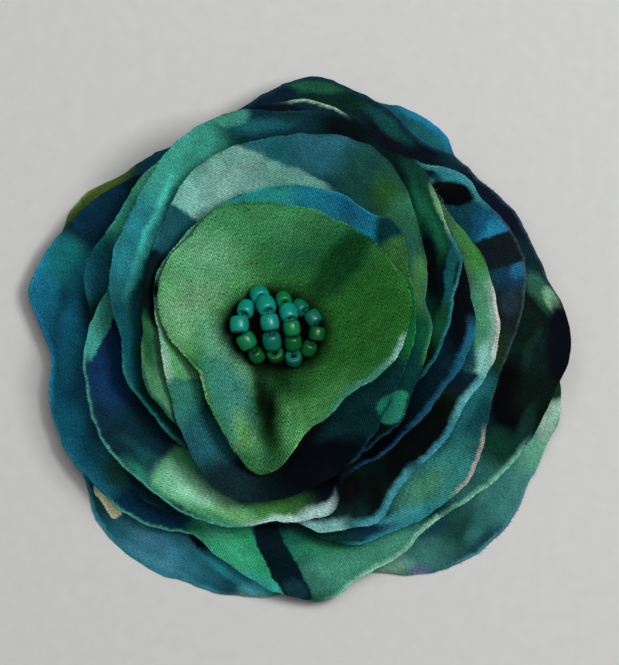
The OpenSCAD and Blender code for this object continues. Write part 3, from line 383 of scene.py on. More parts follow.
def fill(tree, node, inputs):
    """The node with its inputs set, or linked where a value is an output, or a node for its first one."""
    for name, value in inputs.items():
        if isinstance(value, bpy.types.Node):
            value = value.outputs[0]
        if isinstance(value, bpy.types.NodeSocket):
            tree.links.new(value, node.inputs[name])
        else:
            node.inputs[name].default_value = value
    return node


def add(tree, kind, inputs=None, **settings):
    """A new node of this kind, with its settings and inputs."""
    made = tree.nodes.new(kind)
    for name, value in settings.items():
        setattr(made, name, value)
    return fill(tree, made, inputs or {})


def open_group(name, kind, inputs, output):
    """A new node group, and the outputs of its input node. Each socket is a name and a sort."""
    group = bpy.data.node_groups.new(name, kind)
    for socket, sort in inputs:
        group.interface.new_socket(socket, in_out="INPUT", socket_type="NodeSocket" + sort)
    group.interface.new_socket(output[0], in_out="OUTPUT", socket_type="NodeSocket" + output[1])
    return group, add(group, "NodeGroupInput").outputs


def new_material(name):
    """A new material, its node tree, its surface node, and the place on the object in metres."""
    material = bpy.data.materials.new(name)
    material.use_nodes = True
    tree = material.node_tree
    return material, tree, tree.nodes["Principled BSDF"], add(tree, "ShaderNodeTexCoord").outputs["Object"]


def surface(tree, skin, shade, colours, height, raised, values):
    """Colours a surface between two by one pattern, raises it by another, and sets its other values.

    Raised is the strength of the bump and its depth in millimetres.
    """
    mix = add(tree, "ShaderNodeMix", {"Factor": shade, 6: colours[0], 7: colours[1]}, data_type="RGBA")
    strength, deep = raised
    bump = add(tree, "ShaderNodeBump", {"Height": height, "Strength": strength, "Distance": deep * MM})
    fill(tree, skin, {"Base Color": mix.outputs[2], "Normal": bump, **values})


# Shape of the cloth

def stack_z(k):
    """Height of disc k's upper face where it is stitched."""
    return FELT_Z + FELT_T + FELT_GAP + WALL + (len(DISCS) - k) * (WALL + LAYER_GAP)


def round_the_rim(table, column, angle):
    """A smooth closed curve through one column of a disc's sections, read at each angle."""
    rows = np.array(table, float)
    n = len(rows)
    index = np.searchsorted(rows[:, 0], angle, side="right") - 1
    row_at = lambda i: rows[i % n, 0] + 360 * (i // n)
    value_at = lambda i: rows[i % n, column]
    slope = lambda i: (value_at(i + 1) - value_at(i - 1)) / (row_at(i + 1) - row_at(i - 1))
    start, stop = row_at(index), row_at(index + 1)
    span = stop - start
    u = (angle - start) / span
    return ((1 + 2 * u) * (1 - u) ** 2 * value_at(index) + u * (1 - u) ** 2 * span * slope(index)
            + u ** 2 * (3 - 2 * u) * value_at(index + 1) - u ** 2 * (1 - u) * span * slope(index + 1))


FOLD_SHARE = 1.4   # the thin satin folds deeper than the solid can


def turn_from(angle, at):
    """Degrees from one angle to others, between -180 and 180."""
    return (angle - at + 540) % 360 - 180


def fold_depth(k, angle):
    """How deep the pleats of disc k are at each angle."""
    depth = np.zeros_like(angle)
    for disc, at, half, deep in FOLDS:
        if disc == k:
            depth += FOLD_SHARE * deep * np.exp(-(turn_from(angle, at) / half) ** 2)
    return depth


def ragged(angle, steps, seed):
    """Closed value noise from -1 to 1 with this many steps in a turn."""
    heights = np.random.default_rng(seed).uniform(-1, 1, steps)
    x = angle / 360 * steps
    i = np.floor(x).astype(int)
    u = x - i
    u = u * u * (3 - 2 * u)
    return heights[i % steps] * (1 - u) + heights[(i + 1) % steps] * u


# Length and depth of the bays that a flame leaves, in millimetres
BAYS = [(7.0, 0.3), (2.6, 0.2), (1.1, 0.11)]


def singed_reach(k, angle):
    """Reach of disc k's rim with its small bays and points."""
    reach = round_the_rim(SECTIONS[k - 1], 1, angle)
    turn = 2 * math.pi * reach.mean()
    return reach + sum(deep * ragged(angle, int(turn / length), 100 * k + n)
                       for n, (length, deep) in enumerate(BAYS))


# Number of gathers in a turn and their depth, the finer ones nearer the rim, and the small ones where the
# lowest disc is sewn to the felt: number, depth, share of the reach where they are, width
GATHERS = [(11, 0.16), (17, 0.13), (26, 0.1), (41, 0.06)]
FELT_GATHERS = (72, 0.34, 0.12, 0.16)


def crumple(k, angle, share):
    """Shallow gathers that run out from the stitches and open towards the rim."""
    total = np.zeros((len(angle), len(share)))
    out = np.clip(share, 0, 1)[None, :]
    for n, (count, deep) in enumerate(GATHERS):
        total += deep * ragged(angle, count, 900 + 10 * k + n)[:, None] * out ** (0.5 + 0.4 * n)
    if k == len(DISCS):
        count, deep, at, wide = FELT_GATHERS
        total += deep * ragged(angle, count, 990)[:, None] * np.exp(-((out - at) / wide) ** 2)
    return total


AROUND = 520
FLAT_RINGS, WALL_RINGS = 4, 29
RING_CROWDING = 1.25   # above 1, so the rings lie closer towards the rim


def cloth_grid(k):
    """Points of disc k's upper face: a row for each angle, a column for each ring."""
    flat, belly, roll_from, _ = DISCS[k - 1]
    table = SECTIONS[k - 1]
    angle = np.arange(AROUND) * 360 / AROUND
    base = round_the_rim(table, 1, angle)
    reach = singed_reach(k, angle)
    rise = round_the_rim(table, 2, angle)
    lip = round_the_rim(table, 3, angle) + (TABLE_DROP if k == len(DISCS) else 0)
    t = np.linspace(0, 1, WALL_RINGS)
    share = 1 - (1 - t) ** RING_CROWDING
    z0 = stack_z(k)
    wall_r = flat + share[None, :] * (reach - flat)[:, None]
    start = np.maximum(roll_from, flat / base)[:, None]
    roll = np.clip((wall_r / reach[:, None] - start) / (1 - start), 0, None)
    wall_z = (z0 + (rise - z0)[:, None] * share[None, :] ** belly - lip[:, None] * roll ** 2
              - fold_depth(k, angle)[:, None] * np.minimum(1, 2 * share)[None, :])
    flat_r = np.repeat(np.linspace(HOLE_R, flat, FLAT_RINGS, endpoint=False)[None, :], AROUND, axis=0)
    r = np.concatenate([flat_r, wall_r], axis=1)
    z = np.concatenate([np.full_like(flat_r, z0), wall_z], axis=1)
    z += crumple(k, angle, np.concatenate([np.zeros(FLAT_RINGS), share]))
    a = np.radians(angle)[:, None]
    return np.stack([STITCHES[0] + r * np.cos(a), STITCHES[1] + r * np.sin(a), z], axis=2)


def unit(ways):
    """Vectors brought to length 1."""
    return ways / np.linalg.norm(ways, axis=-1, keepdims=True)


def grid_normals(grid):
    """The way out of the cloth's upper face at each point of its grid."""
    out = np.gradient(grid, axis=1)
    around = np.roll(grid, -1, axis=0) - np.roll(grid, 1, axis=0)
    return unit(np.cross(out, around))


def mesh_object(name, verts, faces, smooth=True):
    """A new object at the origin, from points in millimetres and faces."""
    mesh = bpy.data.meshes.new(name)
    mesh.from_pydata((np.asarray(verts) * MM).tolist(), [], faces)
    mesh.polygons.foreach_set("use_smooth", [smooth] * len(mesh.polygons))
    mesh.update()
    obj = bpy.data.objects.new(name, mesh)
    bpy.context.collection.objects.link(obj)
    return obj


def band_faces(steps, count):
    """Four-sided faces between closed loops of count points each, steps loops in a closed round."""
    i, j = np.meshgrid(np.arange(steps), np.arange(count), indexing="ij")
    at = lambda a, b: (a % steps) * count + b % count
    return np.stack([at(i, j), at(i + 1, j), at(i + 1, j + 1), at(i, j + 1)], axis=2).reshape(-1, 4)


# Where the points of the melted edge lie round its half circle, in radians from straight out
EDGE_TURNS = (1.15, 0.4, -0.4, -1.15)
CUT_SPAN = 100   # millimetres of flat cloth in one unit of its map


def cloth_mesh(name, k):
    """Disc k as one closed sheet: upper face, melted edge bead, under face and the edge of its hole."""
    top = cloth_grid(k)
    normal = grid_normals(top)
    under = top - SATIN_T * normal
    out = unit(top[:, -1] - top[:, -2])
    middle = (top[:, -1] + under[:, -1]) / 2
    bead = [middle + EDGE_BEAD_R * (math.cos(a) * out + math.sin(a) * normal[:, -1]) for a in EDGE_TURNS]
    hole = (top[:, 0] + under[:, 0]) / 2
    loop = np.concatenate([top, np.stack(bead, axis=1), under[:, ::-1], hole[:, None]], axis=1)
    obj = mesh_object(name, loop.reshape(-1, 3),
                      np.roll(band_faces(AROUND, loop.shape[1]), -1, axis=1).tolist())
    step = np.linalg.norm(np.diff(top, axis=1), axis=2)
    along = np.concatenate([np.full((AROUND, 1), HOLE_R), HOLE_R + np.cumsum(step, axis=1)], axis=1)
    whole = along[:, -1:]
    length = np.concatenate([along, np.repeat(whole, len(EDGE_TURNS), axis=1), along[:, ::-1], along[:, :1]],
                            axis=1)
    map_cloth(obj, length, whole)
    return obj, float(whole.mean())


def map_cloth(obj, length, whole):
    """Maps a disc flat, as it was cut, and says how far each point is from its rim along the cloth."""
    angle = (np.arange(AROUND) * 2 * math.pi / AROUND)[:, None]
    cut = np.stack([length * np.cos(angle), length * np.sin(angle)], axis=2).reshape(-1, 2) / CUT_SPAN
    corner = np.zeros(len(obj.data.loops), int)
    obj.data.loops.foreach_get("vertex_index", corner)
    obj.data.uv_layers.new(name="cut").data.foreach_set("uv", cut[corner].ravel())
    from_rim = obj.data.attributes.new("from_rim", "FLOAT", "POINT")
    from_rim.data.foreach_set("value", (whole - length).ravel())


# Satin

def patch_group():
    """One patch, used for the print and for painted shade and light: colour laid over the colour below it
    inside a soft-edged rounded shape.
    """
    group, given = open_group("print_and_shade_patch", "ShaderNodeTree", [
        ("Under", "Color"), ("Dye and painted light", "Color"), ("Place", "Vector"), ("Middle", "Vector"), ("Half", "Vector"),
        ("Turn", "Float"), ("Softness", "Float"), ("Squareness", "Float")], ("Colour", "Color"))
    off = add(group, "ShaderNodeVectorMath", {0: given["Place"], 1: given["Middle"]}, operation="SUBTRACT")
    back = add(group, "ShaderNodeMath", {0: given["Turn"], 1: -1}, operation="MULTIPLY")
    turned = add(group, "ShaderNodeVectorRotate", {"Vector": off, "Angle": back}, rotation_type="Z_AXIS")
    scaled = add(group, "ShaderNodeVectorMath", {0: turned, 1: given["Half"]}, operation="DIVIDE")
    size = add(group, "ShaderNodeVectorMath", {0: scaled}, operation="ABSOLUTE")
    xyz = add(group, "ShaderNodeSeparateXYZ", {0: size})
    across, along = (add(group, "ShaderNodeMath", {0: xyz.outputs[n], 1: given["Squareness"]},
                         operation="POWER") for n in (0, 1))
    total = add(group, "ShaderNodeMath", {0: across, 1: along}, operation="ADD")
    root = add(group, "ShaderNodeMath", {0: 1, 1: given["Squareness"]}, operation="DIVIDE")
    far = add(group, "ShaderNodeMath", {0: total, 1: root}, operation="POWER")
    inner = add(group, "ShaderNodeMath", {0: 1, 1: given["Softness"]}, operation="SUBTRACT")
    outer = add(group, "ShaderNodeMath", {0: 1, 1: given["Softness"]}, operation="ADD")
    inside = add(group, "ShaderNodeMapRange", {"Value": far, "From Min": inner, "From Max": outer,
                                               "To Min": 1, "To Max": 0}, interpolation_type="SMOOTHSTEP")
    mix = add(group, "ShaderNodeMix", {"Factor": inside, 6: given["Under"], 7: given["Dye and painted light"]},
              data_type="RGBA")
    add(group, "NodeGroupOutput", {"Colour": mix.outputs[2]})
    return group


# Where a band fades: degrees past its two ends, millimetres from its outer edge, and shares of its width
BAND_FADE = (-4, 2)
BAND_START = (-0.12, 0)
BAND_SOFT = (0.7, 1.3)


def rim_group():
    """One band along a rim, for the rim's own colour and for painted highlights: colour laid over the colour
    below it between two angles, a little way in.
    """
    group, given = open_group("rim_band", "ShaderNodeTree", [
        ("Under", "Color"), ("Dye and painted light", "Color"), ("Angle", "Float"), ("Middle", "Float"), ("Half", "Float"),
        ("From rim", "Float"), ("Inset", "Float"), ("Width", "Float")], ("Colour", "Color"))
    off = add(group, "ShaderNodeMath", {0: given["Angle"], 1: given["Middle"]}, operation="SUBTRACT")
    wrapped = add(group, "ShaderNodeMath", {0: off, 1: 180, 2: -180}, operation="WRAP")
    turn = add(group, "ShaderNodeMath", {0: wrapped}, operation="ABSOLUTE")
    past = add(group, "ShaderNodeMath", {0: turn, 1: given["Half"]}, operation="SUBTRACT")
    between = add(group, "ShaderNodeMapRange",
                  {"Value": past, "From Min": BAND_FADE[0], "From Max": BAND_FADE[1],
                   "To Min": 1, "To Max": 0}, interpolation_type="SMOOTHSTEP")
    deep = add(group, "ShaderNodeMath", {0: given["From rim"], 1: given["Inset"]}, operation="SUBTRACT")
    start = add(group, "ShaderNodeMapRange",
                {"Value": deep, "From Min": BAND_START[0], "From Max": BAND_START[1]})
    share = add(group, "ShaderNodeMath", {0: deep, 1: given["Width"]}, operation="DIVIDE")
    stop = add(group, "ShaderNodeMapRange",
               {"Value": share, "From Min": BAND_SOFT[0], "From Max": BAND_SOFT[1],
                "To Min": 1, "To Max": 0}, interpolation_type="SMOOTHSTEP")
    band = add(group, "ShaderNodeMath", {0: start, 1: stop}, operation="MULTIPLY")
    inside = add(group, "ShaderNodeMath", {0: band, 1: between}, operation="MULTIPLY")
    mix = add(group, "ShaderNodeMix", {"Factor": inside, 6: given["Under"], 7: given["Dye and painted light"]},
              data_type="RGBA")
    add(group, "NodeGroupOutput", {"Colour": mix.outputs[2]})
    return group


# How dye bleeds along damp threads: width of a wave and how far it moves the dye, in millimetres
BLEEDS = ((6.0, 0.9), (1.5, 0.35), (0.35, 0.18))


def print_place(tree, here, seed):
    """Millimetres from the stitches, moved a little sideways where the dye bled."""
    place = add(tree, "ShaderNodeMapping", {"Vector": here, "Scale": (1 / MM, 1 / MM, 1 / MM),
                                            "Location": (-STITCHES[0], -STITCHES[1], 0)})
    moved = place
    for n, (width, bleed) in enumerate(BLEEDS):
        elsewhere = (seed * 31.7 + 9 * n, seed * 11.3, 0)   # so that no two discs bleed alike
        shift = add(tree, "ShaderNodeVectorMath", {0: place, 1: elsewhere}, operation="ADD")
        noise = add(tree, "ShaderNodeTexNoise", {"Vector": shift, "Scale": 1 / width, "Detail": 1})
        centred = add(tree, "ShaderNodeVectorMath", {0: noise.outputs["Color"], 1: (0.5, 0.5, 0.5)},
                      operation="SUBTRACT")
        push = add(tree, "ShaderNodeVectorMath", {0: centred, "Scale": 2 * bleed}, operation="SCALE")
        moved = add(tree, "ShaderNodeVectorMath", {0: moved, 1: push}, operation="ADD")
    return moved


WAVE = 2 * math.pi / 20   # units between the bands of a wave texture of scale 1
RIB = 0.42   # a rib every 0.2 mm is too fine to show, so it is drawn at a little over twice that
SLUB_WIDTH, SLUB_LENGTH = 0.15, 0.55   # millimetres


def crepe_weave(tree, turn):
    """Height of the diagonal crepe ribs, from 0 to 1, and their broken slubs, on the cut cloth."""
    cut = add(tree, "ShaderNodeUVMap", uv_map="cut")
    flat = add(tree, "ShaderNodeMapping", {"Vector": cut, "Scale": (CUT_SPAN, CUT_SPAN, CUT_SPAN),
                                           "Rotation": (0, 0, math.radians(turn))})
    ribs = add(tree, "ShaderNodeTexWave",
               {"Vector": flat, "Scale": WAVE / RIB, "Distortion": 2, "Detail": 1, "Detail Scale": 2.5})
    drawn = add(tree, "ShaderNodeMapping", {"Vector": flat, "Scale": (1 / SLUB_WIDTH, 1 / SLUB_LENGTH, 1)})
    slubs = add(tree, "ShaderNodeTexNoise", {"Vector": drawn, "Scale": 1, "Detail": 2})
    return ribs.outputs["Fac"], slubs.outputs["Fac"]


# Millimetres: length of the waves in a band's edges, and how far they wander
BAND_WAVE, BAND_UNEVEN = 0.9, 0.9


def disc_print(tree, k, place, rim, patch, band):
    """The colour of disc k: its dyed ground, its patches of print, painted shade and painted light, then the
    bands that follow its rim, partly painted highlights.
    """
    colour = linear(GROUND[k - 1])
    for x, y, half_long, half_wide, turn, soft, square, dye in PATCHES[k - 1]:
        colour = add(tree, "ShaderNodeGroup", {
            "Under": colour, "Dye and painted light": linear(dye), "Place": place, "Middle": (x, y, 0),
            "Half": (half_long, half_wide, 1), "Turn": math.radians(turn), "Softness": soft,
            "Squareness": square}, node_tree=patch)
    xyz = add(tree, "ShaderNodeSeparateXYZ", {0: place})
    radians = add(tree, "ShaderNodeMath", {0: xyz.outputs[1], 1: xyz.outputs[0]}, operation="ARCTAN2")
    angle = add(tree, "ShaderNodeMath", {0: radians}, operation="DEGREES")
    waves = add(tree, "ShaderNodeTexNoise", {"Vector": place, "Scale": 1 / BAND_WAVE, "Detail": 2})
    moved = add(tree, "ShaderNodeMath", {0: waves.outputs["Fac"], 1: BAND_UNEVEN, 2: rim},
                operation="MULTIPLY_ADD")
    depth = add(tree, "ShaderNodeMath", {0: moved, 1: BAND_UNEVEN / 2}, operation="SUBTRACT")
    for start, stop, inset, width, dye in RIMS[k - 1]:
        sweep = (stop - start) % 360
        beyond = 0 if inset else 1   # a band with no inset starts outside the rim, to colour all of it
        colour = add(tree, "ShaderNodeGroup", {
            "Under": colour, "Dye and painted light": linear(dye), "Angle": angle, "Middle": start + sweep / 2,
            "Half": sweep / 2, "From rim": depth, "Inset": inset - beyond, "Width": width + beyond},
            node_tree=band)
    return colour


# How much the clouds in the dye, the ribs and the slubs lighten and darken the cloth; a cloud in millimetres
CLOUD_SHADE, WEAVE_SHADE, SLUB_SHADE = 1.2, 0.42, 2.6
CLOUD = 3.5


def clouded(tree, place, rib, slub, deep):
    """How light the dye is: slow clouds, then the ribs and slubs of the weave."""
    cloud = add(tree, "ShaderNodeTexNoise",
                {"Vector": place, "Scale": 1 / CLOUD, "Detail": 4, "Roughness": 0.6})
    shade = None
    for pattern, share in ((cloud.outputs["Fac"], CLOUD_SHADE), (rib, WEAVE_SHADE * deep),
                           (slub, SLUB_SHADE * deep)):
        part = add(tree, "ShaderNodeMath", {0: pattern, 1: share, 2: 1 - share / 2},
                   operation="MULTIPLY_ADD")
        shade = add(tree, "ShaderNodeMath", {0: shade, 1: part}, operation="MULTIPLY") if shade else part
    return shade


# Singeing, in millimetres: width of its bays, the least and the most that it reaches in, and width of the
# stretches that melted lighter or darker, with how much lighter or darker they are
SINGE_BAY, SINGE_REACH = 1.3, (-0.2, 1.2)
MELT_STRETCH, MELT_SHADE = 9, (0.6, 1.5)
SINGE_STRENGTH = 0.7


def singed(tree, place, rim):
    """How far the heat reached in from the rim, and how light or dark it left the satin."""
    least, most = SINGE_REACH
    bays = add(tree, "ShaderNodeTexNoise", {"Vector": place, "Scale": 1 / SINGE_BAY, "Detail": 2})
    end = add(tree, "ShaderNodeMath", {0: bays.outputs["Fac"], 1: most - least, 2: least},
              operation="MULTIPLY_ADD")
    near = add(tree, "ShaderNodeMapRange", {"Value": rim, "From Min": 0, "From Max": end,
                                            "To Min": SINGE_STRENGTH, "To Max": 0})
    stretch = add(tree, "ShaderNodeTexNoise", {"Vector": place, "Scale": 1 / MELT_STRETCH, "Detail": 1})
    glaze = add(tree, "ShaderNodeMapRange",
                {"Value": stretch.outputs["Fac"], "From Min": 0.35, "From Max": 0.65,
                 "To Min": MELT_SHADE[0], "To Max": MELT_SHADE[1]})
    return near, glaze


def printed_satin(k, patch, band):
    """Polyester crepe satin, piece-dyed in a watercolour print, with painted shade and light in places: fine
    ribs, a soft sheen, melted edges.
    """
    material, tree, skin, here = new_material(f"printed_satin_{k}")
    place = print_place(tree, here, k)
    rim = add(tree, "ShaderNodeAttribute", attribute_name="from_rim").outputs["Fac"]
    colour = disc_print(tree, k, place, rim, patch, band)
    rib, slub = crepe_weave(tree, DISCS[k - 1][3])
    shade = clouded(tree, place, rib, slub, GRAIN[k - 1])
    dyed = add(tree, "ShaderNodeVectorMath", {0: colour, "Scale": shade}, operation="SCALE")
    near, glaze = singed(tree, place, rim)
    melted = add(tree, "ShaderNodeVectorMath", {0: dyed, "Scale": glaze}, operation="SCALE")
    height = add(tree, "ShaderNodeMath", {0: slub, 1: 0.5, 2: rib}, operation="MULTIPLY_ADD")
    surface(tree, skin, near, (dyed, melted), height, (0.4, 0.08),
            {"Roughness": 0.7, "Specular IOR Level": 0.04})
    return material


# Beads, thread, felt and pin

def bead_glass(name, hex_colour):
    """Opaque pressed glass, fire polished: deep even colour, a hard gloss and faint waves in the skin."""
    material, tree, skin, here = new_material(name)
    cloud = add(tree, "ShaderNodeTexNoise", {"Vector": here, "Scale": 1 / (1.6 * MM), "Detail": 2})
    wave = add(tree, "ShaderNodeTexNoise", {"Vector": here, "Scale": 1 / (0.7 * MM), "Detail": 1})
    deep = [c * 0.6 for c in linear(hex_colour)[:3]] + [1]
    surface(tree, skin, cloud.outputs["Fac"], (deep, linear(hex_colour)), wave.outputs["Fac"], (0.1, 0.06),
            {"Roughness": 0.28, "IOR": 1.52, "Specular IOR Level": 0.32})
    return material


def spun_thread():
    """Waxed polyester thread, two strands twisted: a fine slanting twist and a dull skin."""
    material, tree, skin, here = new_material("spun_thread")
    slant = add(tree, "ShaderNodeMapping", {"Vector": here, "Rotation": (0.6, 0.8, 0.3)})
    twist = add(tree, "ShaderNodeTexWave", {"Vector": slant, "Scale": WAVE / (0.3 * MM)})
    surface(tree, skin, twist.outputs["Fac"], (linear("#0a1a16"), linear("#142c26")), twist.outputs["Fac"],
            (0.4, 0.05), {"Roughness": 0.7})
    return material


def pressed_felt():
    """Pressed wool-blend felt: matted fibres in two sizes that take the light unevenly, with no weave."""
    material, tree, skin, here = new_material("pressed_felt")
    fibres = add(tree, "ShaderNodeTexNoise", {"Vector": here, "Scale": 1 / (0.5 * MM), "Detail": 5,
                                              "Roughness": 0.75, "Distortion": 2.5})
    tuft = add(tree, "ShaderNodeTexNoise", {"Vector": here, "Scale": 1 / (2.2 * MM), "Detail": 3,
                                            "Distortion": 1.2})
    both = add(tree, "ShaderNodeMath", {0: tuft.outputs["Fac"], 1: 0.9, 2: fibres.outputs["Fac"]},
               operation="MULTIPLY_ADD")
    matted = add(tree, "ShaderNodeMapRange", {"Value": both, "From Min": 0.75, "From Max": 1.15})
    surface(tree, skin, matted, (linear("#0a111a"), linear("#2e4158")), both, (0.9, 0.3),
            {"Roughness": 0.95, "Sheen Weight": 0.3})
    return material


def nickelled_steel():
    """Rolled steel bar, nickel plated: bright, with fine lengthwise rolling lines."""
    material, tree, skin, here = new_material("nickelled_steel")
    lines = add(tree, "ShaderNodeMapping", {"Vector": here, "Scale": (60, 4000, 4000)})
    streak = add(tree, "ShaderNodeTexNoise", {"Vector": lines, "Scale": 1, "Detail": 2})
    rough = add(tree, "ShaderNodeMapRange", {"Value": streak.outputs["Fac"], "To Min": 0.2, "To Max": 0.38})
    surface(tree, skin, streak.outputs["Fac"], (linear("#b4b3ae"), linear("#c9c8c3")), streak.outputs["Fac"],
            (0.1, 0.02), {"Roughness": rough, "Metallic": 1})
    return material


def arch_point(bead):
    """The middle of a bead."""
    return Vector((STITCHES[0] + bead[0], STITCHES[1] + bead[1], bead[2]))


def arch_way(arch, i):
    """The way that a bead's bore points, along its arch."""
    way = arch_point(arch[min(i + 1, len(arch) - 1)]) - arch_point(arch[max(i - 1, 0)])
    return (way.normalized() + Vector((0, 0, arch[i][3]))).normalized()


BEAD_AROUND, OUTLINE_POINTS = 36, 20
OUTLINE_SHARE = 0.93   # of the way round, which leaves the bore its straight wall
OUTLINE_POWER = 0.84   # below 1, so boxier than an ellipse
BORE_END = 0.28        # millimetres from a bead's end to where its bore opens
BORE_WALL = 0.05       # the bore's wall, up to this far out, stays true
UNEVEN = 0.03          # share by which a bead may be out of round


def bead_outline():
    """Radius and height round half of a bead's section: the straight bore, then the fat shoulders."""
    half = BEAD_LEN / 2
    middle_r, half_r = (BEAD_R + BORE_R) / 2, (BEAD_R - BORE_R) / 2
    outline = [(BORE_R, BORE_END - half), (BORE_R, 0), (BORE_R, half - BORE_END)]
    for n in range(OUTLINE_POINTS + 1):
        a = math.pi / 2 + math.pi * OUTLINE_SHARE - (n / OUTLINE_POINTS) * 2 * math.pi * OUTLINE_SHARE
        c, s = math.cos(a), math.sin(a)
        outline.append((middle_r + half_r * math.copysign(abs(c) ** OUTLINE_POWER, c),
                        half * math.copysign(abs(s) ** OUTLINE_POWER, s)))
    return outline


def bead_mesh(name, arch, i, seed):
    """A rocaille turned about its bore: straight bore, fat rounded shoulders, never quite even."""
    squash = np.random.default_rng(seed).uniform(-UNEVEN, 0)
    outline = bead_outline()
    size = arch[i][4]
    turn = arch_way(arch, i).to_track_quat("Z", "Y")
    centre = arch_point(arch[i])
    verts = []
    for q in range(BEAD_AROUND):
        a = 2 * math.pi * q / BEAD_AROUND
        wobble = 1 + squash * (0.5 + 0.5 * math.cos(2 * a + seed))
        for r, z in outline:
            out = r * wobble if r > BORE_R + BORE_WALL else r
            verts.append(centre + size * (turn @ Vector((out * math.cos(a), out * math.sin(a), z))))
    return mesh_object(name, [tuple(v) for v in verts], band_faces(BEAD_AROUND, len(outline)).tolist())


def outward(obj):
    """The object, with every face of its closed mesh turned outwards."""
    bm = bmesh.new()
    bm.from_mesh(obj.data)
    bmesh.ops.recalc_face_normals(bm, faces=bm.faces)
    bm.to_mesh(obj.data)
    bm.free()
    return obj


# Thread: two strands laid together. Lengths in millimetres; the strands' place and radius are shares of the
# thread's radius
THREAD_R = 0.16
SEWING_R = 0.2
THREAD_STEP = 0.14
LAY = 1.1
STRANDS, STRAND_SIDES = 2, 6
STRAND_OUT, STRAND_R = 0.5, 0.58


def smooth_path(points):
    """A smooth line through these points, finely stepped."""
    given = np.asarray(points, float)
    ends = np.concatenate([[2 * given[0] - given[1]], given, [2 * given[-1] - given[-2]]])
    line = []
    for p0, p1, p2, p3 in zip(ends, ends[1:], ends[2:], ends[3:]):
        steps = max(2, int(np.linalg.norm(p2 - p1) / THREAD_STEP))
        u = np.arange(steps)[:, None] / steps
        line.append(0.5 * (2 * p1 + (p2 - p0) * u + (2 * p0 - 5 * p1 + 4 * p2 - p3) * u ** 2
                           + (3 * p1 - p0 - 3 * p2 + p3) * u ** 3))
    return np.concatenate(line + [given[-1:]])


ASKEW = (0.31, 0.87, 0.38)   # no thread starts out this way


def untwisted_sides(way):
    """A way square to the line at each of its points, carried along it without a twist."""
    side = np.cross(way[0], ASKEW)
    sides = []
    for w in way:
        side = side - w * side.dot(w)
        side = side / np.linalg.norm(side)
        sides.append(side)
    return np.array(sides)


def ply_thread(points, radius):
    """Strands wound round a smooth path, as vertices and faces, closed at both ends."""
    line = smooth_path(points)
    way = unit(np.gradient(line, axis=0))
    run = np.concatenate([[0], np.cumsum(np.linalg.norm(np.diff(line, axis=0), axis=1))])
    side = untwisted_sides(way)
    top = np.cross(way, side)
    ring = np.arange(STRAND_SIDES) * 2 * math.pi / STRAND_SIDES
    verts, faces = [], []
    for strand in range(STRANDS):
        turn = (2 * math.pi * (strand / STRANDS + run / LAY))[:, None]
        axis = line + STRAND_OUT * radius * (np.cos(turn) * side + np.sin(turn) * top)
        first = len(verts)
        for centre, s, t in zip(axis, side, top):
            verts += [centre + STRAND_R * radius * (math.cos(a) * s + math.sin(a) * t) for a in ring]
        last = len(verts) - STRAND_SIDES
        for a in range(first, last, STRAND_SIDES):
            b = a + STRAND_SIDES
            faces += [(a + q, a + (q + 1) % STRAND_SIDES, b + (q + 1) % STRAND_SIDES, b + q)
                      for q in range(STRAND_SIDES)]
        faces.append(tuple(first + q for q in range(STRAND_SIDES))[::-1])
        faces.append(tuple(last + q for q in range(STRAND_SIDES)))
    return verts, faces


def joined(parts):
    """Several sets of vertices and faces as one."""
    verts, faces = [], []
    for part_verts, part_faces in parts:
        faces += [tuple(len(verts) + n for n in face) for face in part_faces]
        verts += list(part_verts)
    return verts, faces


def disc_height(x, y):
    """Height of the top disc's upper face at a place in millimetres."""
    flat, belly = DISCS[0][:2]
    angle = np.array([math.degrees(math.atan2(y - STITCHES[1], x - STITCHES[0])) % 360])
    share = (math.hypot(x - STITCHES[0], y - STITCHES[1]) - flat) / (singed_reach(1, angle)[0] - flat)
    rise = round_the_rim(SECTIONS[0], 2, angle)[0]
    return stack_z(1) + (rise - stack_z(1)) * max(0, share) ** belly


IN_CLOTH = 0.3   # how far below the cloth's face a bead thread ends
PAST_BEAD = 2    # from the middle of an arch's last bead to where its thread turns down


def bead_thread(arch):
    """The thread of one arch: up from the cloth, through every bore and down again."""
    spots = [np.array(arch_point(bead)) for bead in arch]
    ways = [np.array(arch_way(arch, i)) for i in range(len(arch))]
    first, last = spots[0] - PAST_BEAD * ways[0], spots[-1] + PAST_BEAD * ways[-1]
    path = [(first[0], first[1], disc_height(first[0], first[1]) - IN_CLOTH), first]
    for spot, way in zip(spots, ways):
        path += [spot - way, spot + way]
    path += [last, (last[0], last[1], disc_height(last[0], last[1]) - IN_CLOTH)]
    return ply_thread(path, THREAD_R)


# The bundle: how far out its six threads lie, their radius, their twist with height in radians a millimetre,
# and how far they reach below the felt and above the top disc
BUNDLE_OUT, BUNDLE_R, BUNDLE_TWIST = 0.62, 0.3, 0.12
BUNDLE_BELOW, BUNDLE_ABOVE = 0.1, 0.35

# The turns wound on top: their number of points, radians from one to the next, how far out they start, how
# much farther each lies, and how unevenly high
WOUND_POINTS, WOUND_STEP, WOUND_FROM, WOUND_OUT, WOUND_UNEVEN = 44, 0.42, 0.35, 0.032, 0.05


